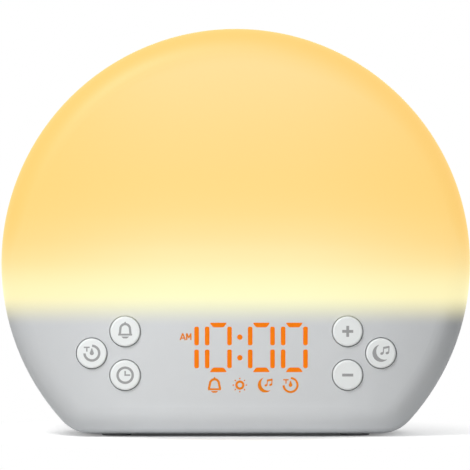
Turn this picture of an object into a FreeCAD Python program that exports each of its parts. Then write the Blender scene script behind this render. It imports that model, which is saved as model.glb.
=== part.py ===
"""Sunrise alarm clock: a round bedside light with a hidden clock display and six buttons.

The clock stands on the origin: Z up, the face looks along -Y, X to the right, millimetres.
Two moulded shells meet on a plane behind the middle. The front shell carries the buttons, the
main board and the light chamber; the rear cover carries the speaker and the power inlet.
"""
import FreeCAD, Part
import math
import os
import re
import Sketcher
from FreeCAD import Placement, Rotation, Vector

# Driving dimensions, in millimetres

SIZES = {
    # Housing outline, seen from the front
    "disc_radius": 94.0,
    "centre_height": 69.3,
    "foot_stand": 1.0,
    "corner_radius": 16.0,
    # Housing, seen from the side
    "housing_depth": 70.8,
    "cover_depth": 20.0,
    "front_rounding": 11.0,
    "rear_rounding": 13.0,
    "wall": 2.2,
    # Lip where the two shells meet
    "lip_length": 2.6,
    "lip_outer": 1.1,
    "lip_gap": 0.1,
    "lip_end_gap": 0.4,
    # Screws that close the housing
    "closing_ring": 84.0,
    "closing_boss_radius": 3.6,
    "closing_boss_length": 14.0,
    "closing_post_radius": 4.9,
    "closing_seat": 3.5,
    "closing_bore_radius": 3.5,
    "closing_head_radius": 3.1,
    "closing_head_height": 2.2,
    "closing_shank_radius": 1.45,
    "closing_reach": 8.0,
    # Small screws inside
    "small_head_radius": 2.5,
    "small_head_height": 1.7,
    "small_shank_radius": 1.2,
    "small_reach": 6.0,
    "small_boss_radius": 3.1,
    "pilot_gap": 0.05,
    "pass_gap": 0.35,
    "pilot_spare": 1.5,
    "drive_width": 0.7,
    # Buttons
    "cap_radius": 6.0,
    "cap_proud": 1.2,
    "cap_edge": 0.4,
    "cap_gap": 0.3,
    "collar_wall": 1.2,
    "collar_length": 6.2,
    "flange_overlap": 0.9,
    "flange_thickness": 1.2,
    "flange_gap": 0.1,
    "stem_radius": 2.5,
    "button_inner_x": 44.3,
    "button_outer_x": 57.6,
    "button_middle_z": 33.6,
    "button_pitch": 17.4,
    # Button switches on the board
    "switch_side": 6.0,
    "switch_height": 3.5,
    "plunger_radius": 1.75,
    "plunger_reach": 1.5,
    "plunger_depth": 2.3,
    "plunger_gap": 0.05,
    "press_travel": 0.5,
    "travel_spare": 0.1,
    # Main board
    "board_setback": 14.0,
    "board_thickness": 1.6,
    "board_half_width": 70.0,
    "board_bottom": 15.0,
    "board_top": 48.0,
    "board_corner": 6.0,
    "board_screw_upper_x": 66.0,
    "board_screw_upper_z": 44.3,
    "board_screw_lower_x": 35.0,
    "board_screw_lower_z": 18.6,
    # Clock display
    "display_centre": 1.86,
    "display_half_width": 29.0,
    "display_bottom": 16.6,
    "display_top": 47.4,
    "display_skin": 1.0,
    "display_gap": 0.2,
    "display_room": 0.5,
    "digit_height": 19.4,
    "digit_width": 10.6,
    "digit_middle_z": 35.7,
    "digit_pitch": 13.13,
    "digit_from_colon": 8.57,
    "segment_width": 1.7,
    "segment_gap": 0.5,
    "colon_radius": 0.95,
    "colon_half_pitch": 4.1,
    "icon_pitch": 10.1,
    "icon_middle_z": 20.5,
    "icon_radius": 2.9,
    "noon_mark_x": 19.7,
    "noon_mark_width": 4.6,
    "noon_mark_height": 2.8,
    "noon_mark_rise": 4.3,
    # Light chamber above the shelf
    "shelf_bottom": 50.6,
    "shelf_thickness": 1.8,
    "shelf_gap": 0.4,
    "shelf_rear_gap": 1.4,
    "tab_width": 8.0,
    "tab_drop": 9.4,
    "tab_thickness": 1.8,
    "strip_half_length": 62.0,
    "strip_width": 12.0,
    "strip_thickness": 1.2,
    "strip_y": -8.0,
    "strip_screw_x": 58.0,
    "strip_boss_height": 4.0,
    "led_side": 5.0,
    "led_height": 1.6,
    "led_pitch": 9.6,
    "reflector_radius": 78.0,
    "reflector_floor_radius": 62.0,
    "reflector_rise": 9.5,
    "reflector_thickness": 1.5,
    "reflector_back": 13.6,
    "reflector_lift": 0.6,
    "reflector_post_ring": 52.0,
    # Chips and parts on the back of the main board
    "controller_side": 12.0,
    "controller_height": 1.4,
    "amplifier_side": 8.0,
    "amplifier_height": 1.2,
    "chip_x": 20.0,
    "chip_z": 29.0,
    "capacitor_radius": 3.2,
    "capacitor_length": 8.0,
    "capacitor_x": 33.0,
    "capacitor_pitch": 8.0,
    "header_x": 46.0,
    "header_z": 40.0,
    "header_width": 8.0,
    "header_height": 5.0,
    "header_length": 6.0,
    "lead_radius": 1.1,
    "lead_hole_gap": 0.9,
    "lead_hole_y": -4.5,
    # Loudspeaker on the rear cover
    "speaker_z": 30.0,
    "speaker_radius": 20.0,
    "speaker_ring": 3.3,
    "gasket_thickness": 1.0,
    "gasket_width": 2.6,
    "flange_metal": 1.5,
    "ear_ring": 22.6,
    "ear_radius": 3.4,
    "basket_radius": 16.6,
    "basket_floor_radius": 12.6,
    "basket_depth": 10.0,
    "basket_wall": 1.0,
    "cone_edge_gap": 0.4,
    "cone_throat_radius": 5.0,
    "cone_depth": 7.5,
    "cone_paper": 0.5,
    "magnet_radius": 12.0,
    "magnet_height": 6.5,
    "grille_hole_radius": 1.5,
    "grille_pitch": 5.4,
    # Power inlet
    "inlet_x": 52.0,
    "inlet_z": 21.0,
    "inlet_bore_radius": 3.2,
    "inlet_bore_depth": 9.0,
    "inlet_pin_radius": 1.0,
    "inlet_pin_set_back": 1.0,
    "inlet_nose_radius": 4.4,
    "inlet_nose_length": 3.4,
    "inlet_hole_gap": 0.2,
    "inlet_recess": 0.6,
    "inlet_width": 9.6,
    "inlet_height": 10.4,
    "inlet_length": 11.0,
    "inlet_board_width": 24.0,
    "inlet_board_height": 22.0,
    "inlet_board_rise": 3.0,
    "inlet_screw_half_pitch": 8.4,
    "inlet_screw_rise": 9.6,
    # Backup battery under the base
    "door_left": -34.0,
    "door_width": 36.0,
    "door_depth": 26.0,
    "door_y": -5.0,
    "door_thickness": 1.8,
    "door_gap": 0.15,
    "door_corner": 2.0,
    "well_wall": 1.2,
    "well_height": 9.2,
    "well_roof": 1.5,
    "well_ledge": 2.0,
    "well_length": 28.0,
    "cell_radius": 10.0,
    "cell_height": 3.2,
    "contact_thickness": 0.3,
    "contact_width": 8.0,
    "contact_length": 14.0,
    "contact_rise": 0.4,
    "contact_stub_radius": 2.5,
    "door_screw_inset": 3.0,
    "door_head_radius": 2.2,
    "door_head_height": 0.9,
    "door_shank_radius": 1.2,
    # Feet
    "foot_radius": 6.0,
    "foot_edge": 0.4,
    "foot_recess": 1.0,
    "foot_gap": 0.15,
    "foot_x": 48.0,
    "foot_front_margin": 1.8,
    "foot_rear_margin": 2.0,
}

# Places that follow from the sizes

PLACES = {
    "front_plane": "cap_proud/2 - housing_depth/2",
    "rear_plane": "cap_proud/2 + housing_depth/2",
    "inner_front": "front_plane + wall",
    "inner_rear": "rear_plane - wall",
    "parting": "rear_plane - cover_depth",
    "cap_front": "front_plane - cap_proud",
    "collar_end": "front_plane + collar_length",
    "flange_front": "collar_end + flange_gap",
    "flange_back": "flange_front + flange_thickness",
    "button_hole_radius": "cap_radius + cap_gap",
    "collar_radius": "button_hole_radius + collar_wall",
    "board_front": "front_plane + board_setback",
    "board_back": "board_front + board_thickness",
    "switch_front": "board_front - switch_height",
    "plunger_tip": "switch_front - plunger_reach",
    "plunger_foot": "switch_front + plunger_depth",
    "display_front": "front_plane + display_skin + display_gap",
    "tab_back": "board_back + tab_thickness",
    "shelf_top": "shelf_bottom + shelf_thickness",
    "shelf_rear": "parting - lip_length - shelf_rear_gap",
    "strip_top": "shelf_top + strip_thickness",
    "reflector_bottom": "shelf_top + reflector_lift",
    "header_back": "board_back + header_length",
    "speaker_seat": "inner_rear - speaker_ring",
    "flange_rear": "speaker_seat - gasket_thickness",
    "flange_face": "flange_rear - flange_metal",
    "basket_floor": "flange_face - basket_depth",
    "magnet_face": "basket_floor - magnet_height",
    "gasket_inner": "speaker_radius - gasket_width",
    "inlet_face": "rear_plane - inlet_recess",
    "inlet_shoulder": "inlet_face - inlet_nose_length",
    "inlet_board_back": "inlet_shoulder - inlet_length",
    "inlet_board_front": "inlet_board_back - board_thickness",
    "inlet_board_z": "inlet_z + inlet_board_rise",
    "inlet_screw_z": "inlet_z + inlet_screw_rise",
    "small_pilot_radius": "small_shank_radius + pilot_gap",
    "small_pass_radius": "small_shank_radius + pass_gap",
    "base": "foot_stand",
    "door_top": "foot_stand + door_thickness",
    "well_top": "foot_stand + well_height",
    "well_ceiling": "well_top - well_roof",
    "well_left": "door_left + well_ledge",
    "cell_x": "well_left + well_length/2",
    "cell_bottom": "cell_top - cell_height",
    "cell_top": "well_ceiling - contact_thickness - contact_rise",
    "door_screw_x": "door_left + door_width - door_screw_inset",
    "foot_front_y": "front_plane + front_rounding + foot_front_margin + foot_radius",
    "foot_rear_y": "parting - foot_rear_margin - foot_radius",
}

CLOSING_ANGLES = (90, 22, 158, -32, 212)
REFLECTOR_ANGLES = (90, 35, 145)
EAR_ANGLES = (45, 135, 225, 315)
GRILLE_RINGS = 2
LED_COUNT = 11

# The document, its sheet of sizes and the words that tie a part to it

doc = FreeCAD.newDocument("SunriseAlarmClock")
sheet = doc.addObject("Spreadsheet::Sheet", "Sizes")
for row, (alias, number) in enumerate(SIZES.items(), start=1):
    sheet.set(f"A{row}", alias)
    sheet.set(f"B{row}", str(number))
    sheet.setAlias(f"B{row}", alias)
doc.recompute()

SUBPARTS = []


def in_sheet(text):
    """The expression with each size and place written as the sheet knows it."""
    def swap(found):
        word = found[0]
        if word in PLACES:
            return "(" + in_sheet(PLACES[word]) + ")"
        return "Sizes." + word if word in SIZES else word
    return re.sub(r"[a-z][a-z0-9_]*", swap, str(text))


def value(text):
    """The expression's present value."""
    return float(sheet.evalExpression(in_sheet(text)))


def tie(part, **expressions):
    """Bind the part's properties to expressions; x, y and z are its place."""
    for name, text in expressions.items():
        path = "Placement.Base." + name if name in ("x", "y", "z") else name
        part.setExpression(path, in_sheet(text))
    return part


def subpart(part, label):
    """Give a finished sub-part the label that names its file."""
    part.Label = label
    SUBPARTS.append(part)
    return part


# Plain solids and booleans

def block(name, width, depth, height, x, y, z):
    """A box from its lowest corner."""
    part = doc.addObject("Part::Box", name)
    return tie(part, Length=width, Width=depth, Height=height, x=x, y=y, z=z)


def centred_block(name, width, depth, height, x, y, z):
    """A box centred on x and z that starts at y."""
    return block(name, width, depth, height, f"{x} - ({width})/2", y, f"{z} - ({height})/2")


def bar(name, radius, length, x, y, z, way="+Y"):
    """A round bar that starts at x, y, z and runs the given way."""
    part = doc.addObject("Part::Cylinder", name)
    part.Placement = Placement(Vector(), WAYS[way])
    return tie(part, Radius=radius, Height=length, x=x, y=y, z=z)


def frustum(name, start_radius, end_radius, length, x, y, z, way="+Y"):
    """A round taper that starts at x, y, z and runs the given way."""
    part = doc.addObject("Part::Cone", name)
    part.Placement = Placement(Vector(), WAYS[way])
    return tie(part, Radius1=start_radius, Radius2=end_radius, Height=length, x=x, y=y, z=z)


WAYS = {
    "+Z": Rotation(),
    "-Z": Rotation(Vector(1, 0, 0), 180),
    "+Y": Rotation(Vector(1, 0, 0), -90),
    "-Y": Rotation(Vector(1, 0, 0), 90),
}
OPPOSITE = {"+Z": "-Z", "-Z": "+Z", "+Y": "-Y", "-Y": "+Y"}


def joined(name, parts):
    """One solid of all the parts."""
    if len(parts) == 1:
        return parts[0]
    part = doc.addObject("Part::MultiFuse", name)
    part.Shapes = parts
    return part


def shared(name, one, other):
    """What two parts have in common."""
    part = doc.addObject("Part::Common", name)
    part.Base = one
    part.Tool = other
    return part


def cut(name, base, tools):
    """The base without the tools."""
    part = doc.addObject("Part::Cut", name)
    part.Base = base
    part.Tool = joined(name + "Tools", tools)
    return part


def group(name, parts):
    """Separate solids of one kind, kept together."""
    part = doc.addObject("Part::Compound", name)
    part.Links = parts
    return part


def rounded(name, base, radius, pick):
    """The base with the picked edges rounded."""
    doc.recompute()
    size = value(radius)
    part = doc.addObject("Part::Fillet", name)
    part.Base = base
    part.Edges = [(place, size, size) for place, edge in enumerate(base.Shape.Edges, start=1)
                  if pick(edge)]
    return part


def runs_along(axis):
    """A test for straight edges along X, Y or Z."""
    def test(edge):
        if edge.Curve.TypeId != "Part::GeomLine":
            return False
        return abs(edge.tangentAt(edge.FirstParameter).dot(axis)) > 0.999
    return test


# Sketched bodies

def sketch_on(body, role, name):
    """A sketch on one of the body's own planes."""
    sketch = body.newObject("Sketcher::SketchObject", name)
    plane = [feature for feature in body.Origin.OriginFeatures if feature.Role == role][0]
    sketch.AttachmentSupport = [(plane, "")]
    sketch.MapMode = "FlatFace"
    return sketch


def dimension(sketch, name, text, kind, *places):
    """A named dimension of a sketch, bound to the sheet."""
    index = sketch.addConstraint(Sketcher.Constraint(kind, *places, value(text)))
    sketch.renameConstraint(index, name)
    sketch.setExpression("Constraints." + name, in_sheet(text))


def outline_sketch(body, inset):
    """The housing's outline, moved in by the inset, about the centre of the disc.

    A large arc, a flat base and the two corner arcs that join them.
    """
    sketch = sketch_on(body, "XZ_Plane", body.Name + "Outline")
    radius = value(f"disc_radius - ({inset})")
    corner = value(f"corner_radius - ({inset})")
    base = -value(f"centre_height - foot_stand - ({inset})")
    corner_z = base + corner
    corner_x = math.sqrt((radius - corner) ** 2 - corner_z ** 2)
    joint = math.atan2(corner_z, corner_x)
    up = Vector(0, 0, 1)
    sketch.addGeometry([
        Part.ArcOfCircle(Part.Circle(Vector(), up, radius), joint, math.pi - joint),
        Part.ArcOfCircle(Part.Circle(Vector(-corner_x, corner_z), up, corner),
                         math.pi - joint, 1.5 * math.pi),
        Part.LineSegment(Vector(-corner_x, base), Vector(corner_x, base)),
        Part.ArcOfCircle(Part.Circle(Vector(corner_x, corner_z), up, corner),
                         1.5 * math.pi, 2 * math.pi + joint),
    ])
    rule = Sketcher.Constraint
    sketch.addConstraint([
        rule("Coincident", 0, 3, -1, 1),
        rule("Tangent", 0, 2, 1, 1),
        rule("Tangent", 1, 2, 2, 1),
        rule("Tangent", 2, 2, 3, 1),
        rule("Tangent", 3, 2, 0, 1),
        rule("Horizontal", 2),
        rule("Equal", 1, 3),
    ])
    dimension(sketch, "disc", f"disc_radius - ({inset})", "Radius", 0)
    dimension(sketch, "corner", f"corner_radius - ({inset})", "Radius", 1)
    dimension(sketch, "drop", f"centre_height - foot_stand - ({inset})", "DistanceY", 2, 1, -1, 1)
    return sketch


def outline_slab(name, inset, start, length):
    """A slab with the housing's outline, moved in by the inset."""
    body = doc.addObject("PartDesign::Body", name)
    pad = body.newObject("PartDesign::Pad", name + "Pad")
    pad.Profile = outline_sketch(body, inset)
    pad.Reversed = True
    tie(pad, Length=length)
    return tie(body, y=start, z="centre_height")


def rim(shape, level):
    """The names of the edges that lie in the plane at this y."""
    return [f"Edge{place}" for place, edge in enumerate(shape.Edges, start=1)
            if all(abs(vertex.Y - level) < 1e-4 for vertex in edge.Vertexes)]


def housing_form(name, inset):
    """The housing's whole outer form, moved in by the inset: outline, then both roundings."""
    depth = f"housing_depth - 2*({inset})"
    body = outline_slab(name, inset, f"front_plane + ({inset})", depth)
    for edge, level, radius in (("Front", 0.0, "front_rounding"),
                                ("Rear", value(depth), "rear_rounding")):
        doc.recompute()
        base = body.Tip
        fillet = body.newObject("PartDesign::Fillet", name + edge + "Rounding")
        fillet.Base = (base, rim(base.Shape, level))
        tie(fillet, Radius=f"{radius} - ({inset})")
    return body


def round_pad(body, name, radius, start, length):
    """A round pad about the body's own Y axis, from start along +Y."""
    sketch = sketch_on(body, "XZ_Plane", name + "Sketch")
    tie(sketch, **{"AttachmentOffset.Base.z": f"-({start})"})
    sketch.addGeometry(Part.Circle(Vector(), Vector(0, 0, 1), value(radius)))
    sketch.addConstraint(Sketcher.Constraint("Coincident", 0, 3, -1, 1))
    dimension(sketch, "radius", radius, "Radius", 0)
    pad = body.newObject("PartDesign::Pad", name)
    pad.Profile = sketch
    pad.Reversed = True
    return tie(pad, Length=length)


def plate(name, left, width, front, thickness, bottom, height, corner):
    """An upright plate with rounded corners."""
    base = block(name + "Blank", width, thickness, height, left, front, bottom)
    return rounded(name, base, corner, runs_along(Vector(0, 1, 0)))


# Screws

def turned(way, across, along):
    """The place of a point beside and along an axis that runs the given way, as y and z."""
    return {"+Z": (across, along), "-Z": (across, f"-({along})"),
            "+Y": (along, across), "-Y": (f"-({along})", across)}[way]


def drive_slot(name, kind, x, y, z, way):
    """The cross in a screw's head."""
    arms = []
    reach = f"{kind}_head_radius*1.2"
    for arm, (wide, tall) in (("Flat", (reach, "drive_width")), ("Tall", ("drive_width", reach))):
        depth = f"{kind}_head_height/2"
        along = f"{kind}_head_height" if way[0] == "-" else depth
        side_y, side_z = turned(way, f"-({tall})/2", along)
        depth_y, depth_z = (tall, depth) if way[1] == "Z" else (depth, tall)
        arms.append(block(name + arm, wide, depth_y, depth_z, f"{x} - ({wide})/2",
                          f"{y} + {side_y}", f"{z} + {side_z}"))
    return arms


def screw(name, kind, reach, x, y, z, way, slotted=False):
    """A screw seated at x, y, z with its head the given way."""
    head = bar(name + "Head", f"{kind}_head_radius", f"{kind}_head_height", x, y, z, way)
    shank = bar(name + "Shank", f"{kind}_shank_radius", reach, x, y, z, OPPOSITE[way])
    whole = joined(name, [head, shank])
    if slotted:
        whole = cut(name + "Driven", whole, drive_slot(name, kind, x, y, z, way))
    return whole


# Where the screws stand

def on_disc(ring, angle):
    """A place at this distance from the disc's centre, as x and z."""
    return f"{ring}*cos({angle})", f"centre_height + {ring}*sin({angle})"


CLOSING_PLACES = [on_disc("closing_ring", angle) for angle in CLOSING_ANGLES]
REFLECTOR_PLACES = [on_disc("reflector_post_ring", angle) for angle in REFLECTOR_ANGLES]
UPPER_BOARD_PLACES = [(f"{side}*board_screw_upper_x", "board_screw_upper_z") for side in (-1, 1)]
LOWER_BOARD_PLACES = [(f"{side}*board_screw_lower_x", "board_screw_lower_z") for side in (-1, 1)]
BOARD_PLACES = UPPER_BOARD_PLACES + LOWER_BOARD_PLACES
EAR_PLACES = [(f"ear_ring*cos({angle})", f"speaker_z + ear_ring*sin({angle})")
              for angle in EAR_ANGLES]
INLET_SCREW_PLACES = [(f"inlet_x + {side}*inlet_screw_half_pitch", "inlet_screw_z")
                      for side in (-1, 1)]
FOOT_PLACES = {
    "foot_front_left": ("-foot_x", "foot_front_y"),
    "foot_front_right": ("foot_x", "foot_front_y"),
    "foot_rear_left": ("-foot_x", "foot_rear_y"),
    "foot_rear_right": ("foot_x", "foot_rear_y"),
}
BUTTONS = {
    "alarm": ("-button_inner_x", "button_middle_z + button_pitch/2"),
    "timer": ("-button_outer_x", "button_middle_z"),
    "clock": ("-button_inner_x", "button_middle_z - button_pitch/2"),
    "plus": ("button_inner_x", "button_middle_z + button_pitch/2"),
    "sleep": ("button_outer_x", "button_middle_z"),
    "minus": ("button_inner_x", "button_middle_z - button_pitch/2"),
}


def bars(name, radius, start, length, places, way="+Y"):
    """Equal bars along Y at each x and z."""
    return [bar(f"{name}{number}", radius, length, x, start, z, way)
            for number, (x, z) in enumerate(places, start=1)]


def webs(name, radius, start, length):
    """Webs that tie the closing bosses to the side wall."""
    parts = []
    for number, angle in enumerate(CLOSING_ANGLES, start=1):
        part = doc.addObject("Part::Box", f"{name}{number}")
        part.Placement = Placement(Vector(), Rotation(Vector(0, -1, 0), angle))
        tie(part, Length="disc_radius - closing_ring", Width=length, Height=f"2*{radius}",
            x=f"closing_ring*cos({angle}) + {radius}*sin({angle})", y=start,
            z=f"centre_height + closing_ring*sin({angle}) - {radius}*cos({angle})")
        parts.append(part)
    return parts


# Housing blank: the outer form without the inner one; the core trims what is moulded inside

outer_form = housing_form("OuterForm", "0")
inner_form = housing_form("InnerForm", "wall")
core_form = housing_form("CoreForm", "wall/2")
walls = cut("HousingWalls", outer_form, [inner_form])


def side_of_parting(name, start, end):
    """The space between two planes across the whole housing."""
    return block(name, "4*disc_radius", f"({end}) - ({start})", "4*disc_radius",
                 "-2*disc_radius", start, "centre_height - 2*disc_radius")


# Front shell: a deep bucket with the face, the side wall and the base

front_blank = shared("FrontBlank", walls,
                     side_of_parting("FrontHalf", "front_plane - wall", "parting"))
front_bosses = joined("FrontBosses", (
    bars("Collar", "collar_radius", "front_plane", "collar_length", BUTTONS.values())
    + bars("BoardBoss", "small_boss_radius", "front_plane", "board_setback", BOARD_PLACES)
    + bars("ClosingBoss", "closing_boss_radius", "parting - closing_boss_length",
           "closing_boss_length", CLOSING_PLACES)
    + webs("ClosingWeb", "closing_boss_radius", "parting - closing_boss_length",
           "closing_boss_length")
    + [block("BatteryWell", "door_width + 2*well_wall", "door_depth + 2*well_wall", "well_height",
             "door_left - well_wall", "door_y - door_depth/2 - well_wall", "base")]))
front_moulding = joined("FrontMoulding",
                        [front_blank, shared("FrontInsides", front_bosses, core_form)])
rebate = cut("Rebate", outline_slab("RebateOuter", "lip_outer",
                                    "parting - lip_length - lip_end_gap",
                                    "lip_length + lip_end_gap + wall"),
             [outline_slab("RebateInner", "wall + lip_gap",
                           "parting - lip_length - lip_end_gap - wall",
                           "lip_length + lip_end_gap + 3*wall")])
door_opening = rounded(
    "DoorOpening",
    block("DoorOpeningBlank", "door_width", "door_depth", "door_thickness + wall",
          "door_left", "door_y - door_depth/2", "door_top - door_thickness - wall"),
    "door_corner", runs_along(Vector(0, 0, 1)))
well_room = block("WellRoom", "well_length", "door_depth - 2*well_ledge",
                  "well_ceiling - door_top + wall", "well_left",
                  "door_y - door_depth/2 + well_ledge", "door_top - wall")
front_holes = (
    bars("ButtonHole", "button_hole_radius", "cap_front", "collar_length + 2*cap_proud",
         BUTTONS.values())
    + bars("BoardPilot", "small_pilot_radius", "board_front", "small_reach", BOARD_PLACES, "-Y")
    + bars("ClosingPilot", "closing_shank_radius + pilot_gap", "parting",
           "closing_reach + pilot_spare", CLOSING_PLACES, "-Y")
    + [bar(name.replace("foot", "Recess"), "foot_radius + foot_gap", "wall + foot_recess",
           x, y, "base - wall", "+Z") for name, (x, y) in FOOT_PLACES.items()]
    + [block("DisplayPocket", "2*(display_half_width + display_room)", "wall",
             "display_top - display_bottom + 2*display_room",
             "display_centre - display_half_width - display_room",
             "front_plane + display_skin", "display_bottom - display_room"),
       rebate, door_opening, well_room,
       bar("DoorPilot", "door_shank_radius + pilot_gap", "small_reach", "door_screw_x", "door_y",
           "door_top", "+Z")])
subpart(cut("FrontShell", front_moulding, front_holes), "front_shell")

# Rear cover: a shallow lid with a lip, screw posts, the speaker's seat and its grille

rear_blank = shared("RearBlank", walls,
                    side_of_parting("RearHalf", "parting", "rear_plane + wall"))
lip = cut("Lip", outline_slab("LipOuter", "lip_outer + lip_gap", "parting - lip_length",
                              "lip_length + wall/2"),
          [outline_slab("LipInner", "wall", "parting - lip_length - wall",
                        "lip_length + 3*wall")])
rear_bosses = joined("RearBosses", (
    bars("ClosingPost", "closing_post_radius", "parting", "cover_depth", CLOSING_PLACES)
    + webs("PostWeb", "closing_post_radius", "parting", "cover_depth")
    + bars("ReflectorPost", "small_boss_radius", "reflector_back", "rear_plane - reflector_back",
           REFLECTOR_PLACES)
    + bars("EarBoss", "small_boss_radius", "flange_rear", "rear_plane - flange_rear", EAR_PLACES)
    + bars("InletBoss", "small_boss_radius", "inlet_board_back", "rear_plane - inlet_board_back",
           INLET_SCREW_PLACES)))
speaker_seat = cut("SpeakerSeat",
                   bar("SeatRing", "speaker_radius", "speaker_ring + wall/2",
                       "0", "speaker_seat", "speaker_z"),
                   [bar("SeatBore", "gasket_inner", "speaker_ring",
                        "0", "speaker_seat", "speaker_z")])
rear_moulding = joined("RearMoulding", [
    rear_blank, lip, shared("RearInsides", rear_bosses, core_form), speaker_seat])


def grille_places():
    """The hole in the middle, then a ring of six and a ring of twelve."""
    places = [("0", "speaker_z")]
    for ring in range(1, GRILLE_RINGS + 1):
        for hole in range(6 * ring):
            angle = 60.0 * hole / ring
            places.append((f"{ring}*grille_pitch*cos({angle})",
                           f"speaker_z + {ring}*grille_pitch*sin({angle})"))
    return places


rear_holes = (
    bars("ClosingBore", "closing_bore_radius", "parting + closing_seat", "cover_depth",
         CLOSING_PLACES)
    + bars("ClosingPass", "closing_shank_radius + pass_gap", "parting - wall",
           "closing_seat + 2*wall", CLOSING_PLACES)
    + bars("ReflectorPilot", "small_pilot_radius", "reflector_back", "small_reach + pilot_spare",
           REFLECTOR_PLACES)
    + bars("EarPilot", "small_pilot_radius", "flange_rear", "inner_rear - flange_rear", EAR_PLACES)
    + bars("InletPilot", "small_pilot_radius", "inlet_board_back", "small_reach + pilot_spare",
           INLET_SCREW_PLACES)
    + bars("GrilleHole", "grille_hole_radius", "inner_rear - wall", "3*wall", grille_places())
    + [bar("InletHole", "inlet_nose_radius + inlet_hole_gap", "3*wall", "inlet_x",
           "inner_rear - wall", "inlet_z")])
subpart(cut("RearShell", rear_moulding, rear_holes), "rear_shell")

# Buttons: a cap in its collar, held by a flange, on the plunger of a switch

for button, (button_x, button_z) in BUTTONS.items():
    title = button.capitalize()
    cap = doc.addObject("PartDesign::Body", title + "Cap")
    round_pad(cap, title + "Face", "cap_radius", "cap_front", "flange_front - cap_front")
    round_pad(cap, title + "Flange", "cap_radius + flange_overlap", "flange_front",
              "flange_thickness")
    round_pad(cap, title + "Stem", "stem_radius", "flange_back", "plunger_tip - flange_back")
    doc.recompute()
    solid = cap.Tip
    bevelled = cap.newObject("PartDesign::Chamfer", title + "Edge")
    bevelled.Base = (solid, rim(solid.Shape, value("cap_front")))
    tie(bevelled, Size="cap_edge")
    subpart(tie(cap, x=button_x, z=button_z), f"{button}_cap")
    switch_box = centred_block(title + "SwitchBox", "switch_side", "switch_height", "switch_side",
                               button_x, "switch_front", button_z)
    switch_room = bar(title + "SwitchRoom", "plunger_radius + plunger_gap",
                      "plunger_depth + press_travel + travel_spare",
                      button_x, "switch_front", button_z)
    subpart(cut(title + "Switch", switch_box, [switch_room]), f"{button}_switch")
    subpart(bar(title + "Plunger", "plunger_radius", "plunger_foot - plunger_tip",
                button_x, "plunger_tip", button_z), f"{button}_plunger")

# Main board behind the buttons and the display

board_blank = plate("BoardBlank", "-board_half_width", "2*board_half_width", "board_front",
                    "board_thickness", "board_bottom", "board_top - board_bottom",
                    "board_corner")
subpart(cut("MainBoard", board_blank,
            bars("BoardPass", "small_pass_radius", "board_front - wall", "3*wall",
                 BOARD_PLACES)), "main_board")
subpart(group("BoardScrews", (
    [screw(f"UpperBoardScrew{number}", "small", "small_reach + tab_thickness", x, "tab_back", z,
           "+Y") for number, (x, z) in enumerate(UPPER_BOARD_PLACES, start=1)]
    + [screw(f"LowerBoardScrew{number}", "small", "small_reach", x, "board_back", z, "+Y")
       for number, (x, z) in enumerate(LOWER_BOARD_PLACES, start=1)])), "board_screws")
subpart(centred_block("Controller", "controller_side", "controller_height", "controller_side",
                      "chip_x", "board_back", "chip_z"), "controller_chip")
subpart(centred_block("Amplifier", "amplifier_side", "amplifier_height", "amplifier_side",
                      "-chip_x", "board_back", "chip_z"), "amplifier_chip")
subpart(group("Capacitors", bars("Capacitor", "capacitor_radius", "board_back",
                                 "capacitor_length",
                                 [("-capacitor_x", "chip_z"),
                                  ("-capacitor_x - capacitor_pitch", "chip_z")])),
        "filter_capacitors")
HEADER_PLACES = {"Speaker": "-header_x", "Light": "0", "Power": "header_x"}
subpart(group("Headers", [centred_block(name + "Header", "header_width", "header_length",
                                        "header_height", x, "board_back", "header_z")
                          for name, x in HEADER_PLACES.items()]), "wire_headers")

# Clock display: an opaque block with a clear light guide in each window


def digit_bars(name, x):
    """The seven windows of one digit about its middle."""
    across = "digit_width - 2*segment_width - segment_gap"
    level = "(digit_height - segment_width)/2"
    parts = [guide(f"{name}Bar{row}", across, "segment_width", x, f"digit_middle_z + {row}*{level}")
             for row in (-1, 0, 1)]
    for side in (-1, 1):
        parts += upright_pair(f"{name}Side{side}", f"{x} + {side}*(digit_width - segment_width)/2")
    return parts


def upright_pair(name, x):
    """An upper and a lower window on one side of a digit."""
    length = "(digit_height - segment_width)/2 - segment_width - segment_gap"
    return [guide(f"{name}Half{half}", "segment_width", length, x,
                  f"digit_middle_z + {half}*(digit_height - segment_width)/4")
            for half in (-1, 1)]


def guide(name, width, height, x, z):
    """A square-ended light guide from the board to the back of the face."""
    return centred_block(name.replace("-", "Low"), width, "board_front - display_front", height,
                         x, "display_front", z)


def display_guides(name):
    """Every window of the display: digits, colon, noon marks and icons."""
    digit_x = {"Hours": "display_centre - digit_from_colon",
               "TensOfMinutes": "display_centre + digit_from_colon",
               "Minutes": "display_centre + digit_from_colon + digit_pitch"}
    parts = []
    for digit, x in digit_x.items():
        parts += digit_bars(name + digit, x)
    parts += upright_pair(name + "TensOfHours",
                          "display_centre - digit_from_colon - digit_pitch"
                          " + (digit_width - segment_width)/2")
    parts += bars(name + "Colon", "colon_radius", "display_front", "board_front - display_front",
                  [("display_centre", f"digit_middle_z + {half}*colon_half_pitch")
                   for half in (-1, 1)])
    parts += [guide(f"{name}Noon{half}", "noon_mark_width", "noon_mark_height",
                    "-noon_mark_x", f"digit_middle_z + {half}*noon_mark_rise")
              for half in (-1, 1)]
    parts += bars(name + "Icon", "icon_radius", "display_front", "board_front - display_front",
                  [(f"display_centre + {place}*icon_pitch", "icon_middle_z")
                   for place in (-1, 0, 1, 2)])
    return parts


display_block = block("DisplayBlock", "2*display_half_width", "board_front - display_front",
                      "display_top - display_bottom", "display_centre - display_half_width",
                      "display_front", "display_bottom")
subpart(cut("DisplayHousing", display_block, display_guides("Window")), "display_housing")
subpart(group("DisplaySegments", display_guides("Guide")), "display_segments")

# Shelf under the light chamber, with tabs that share the upper board screws

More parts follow.
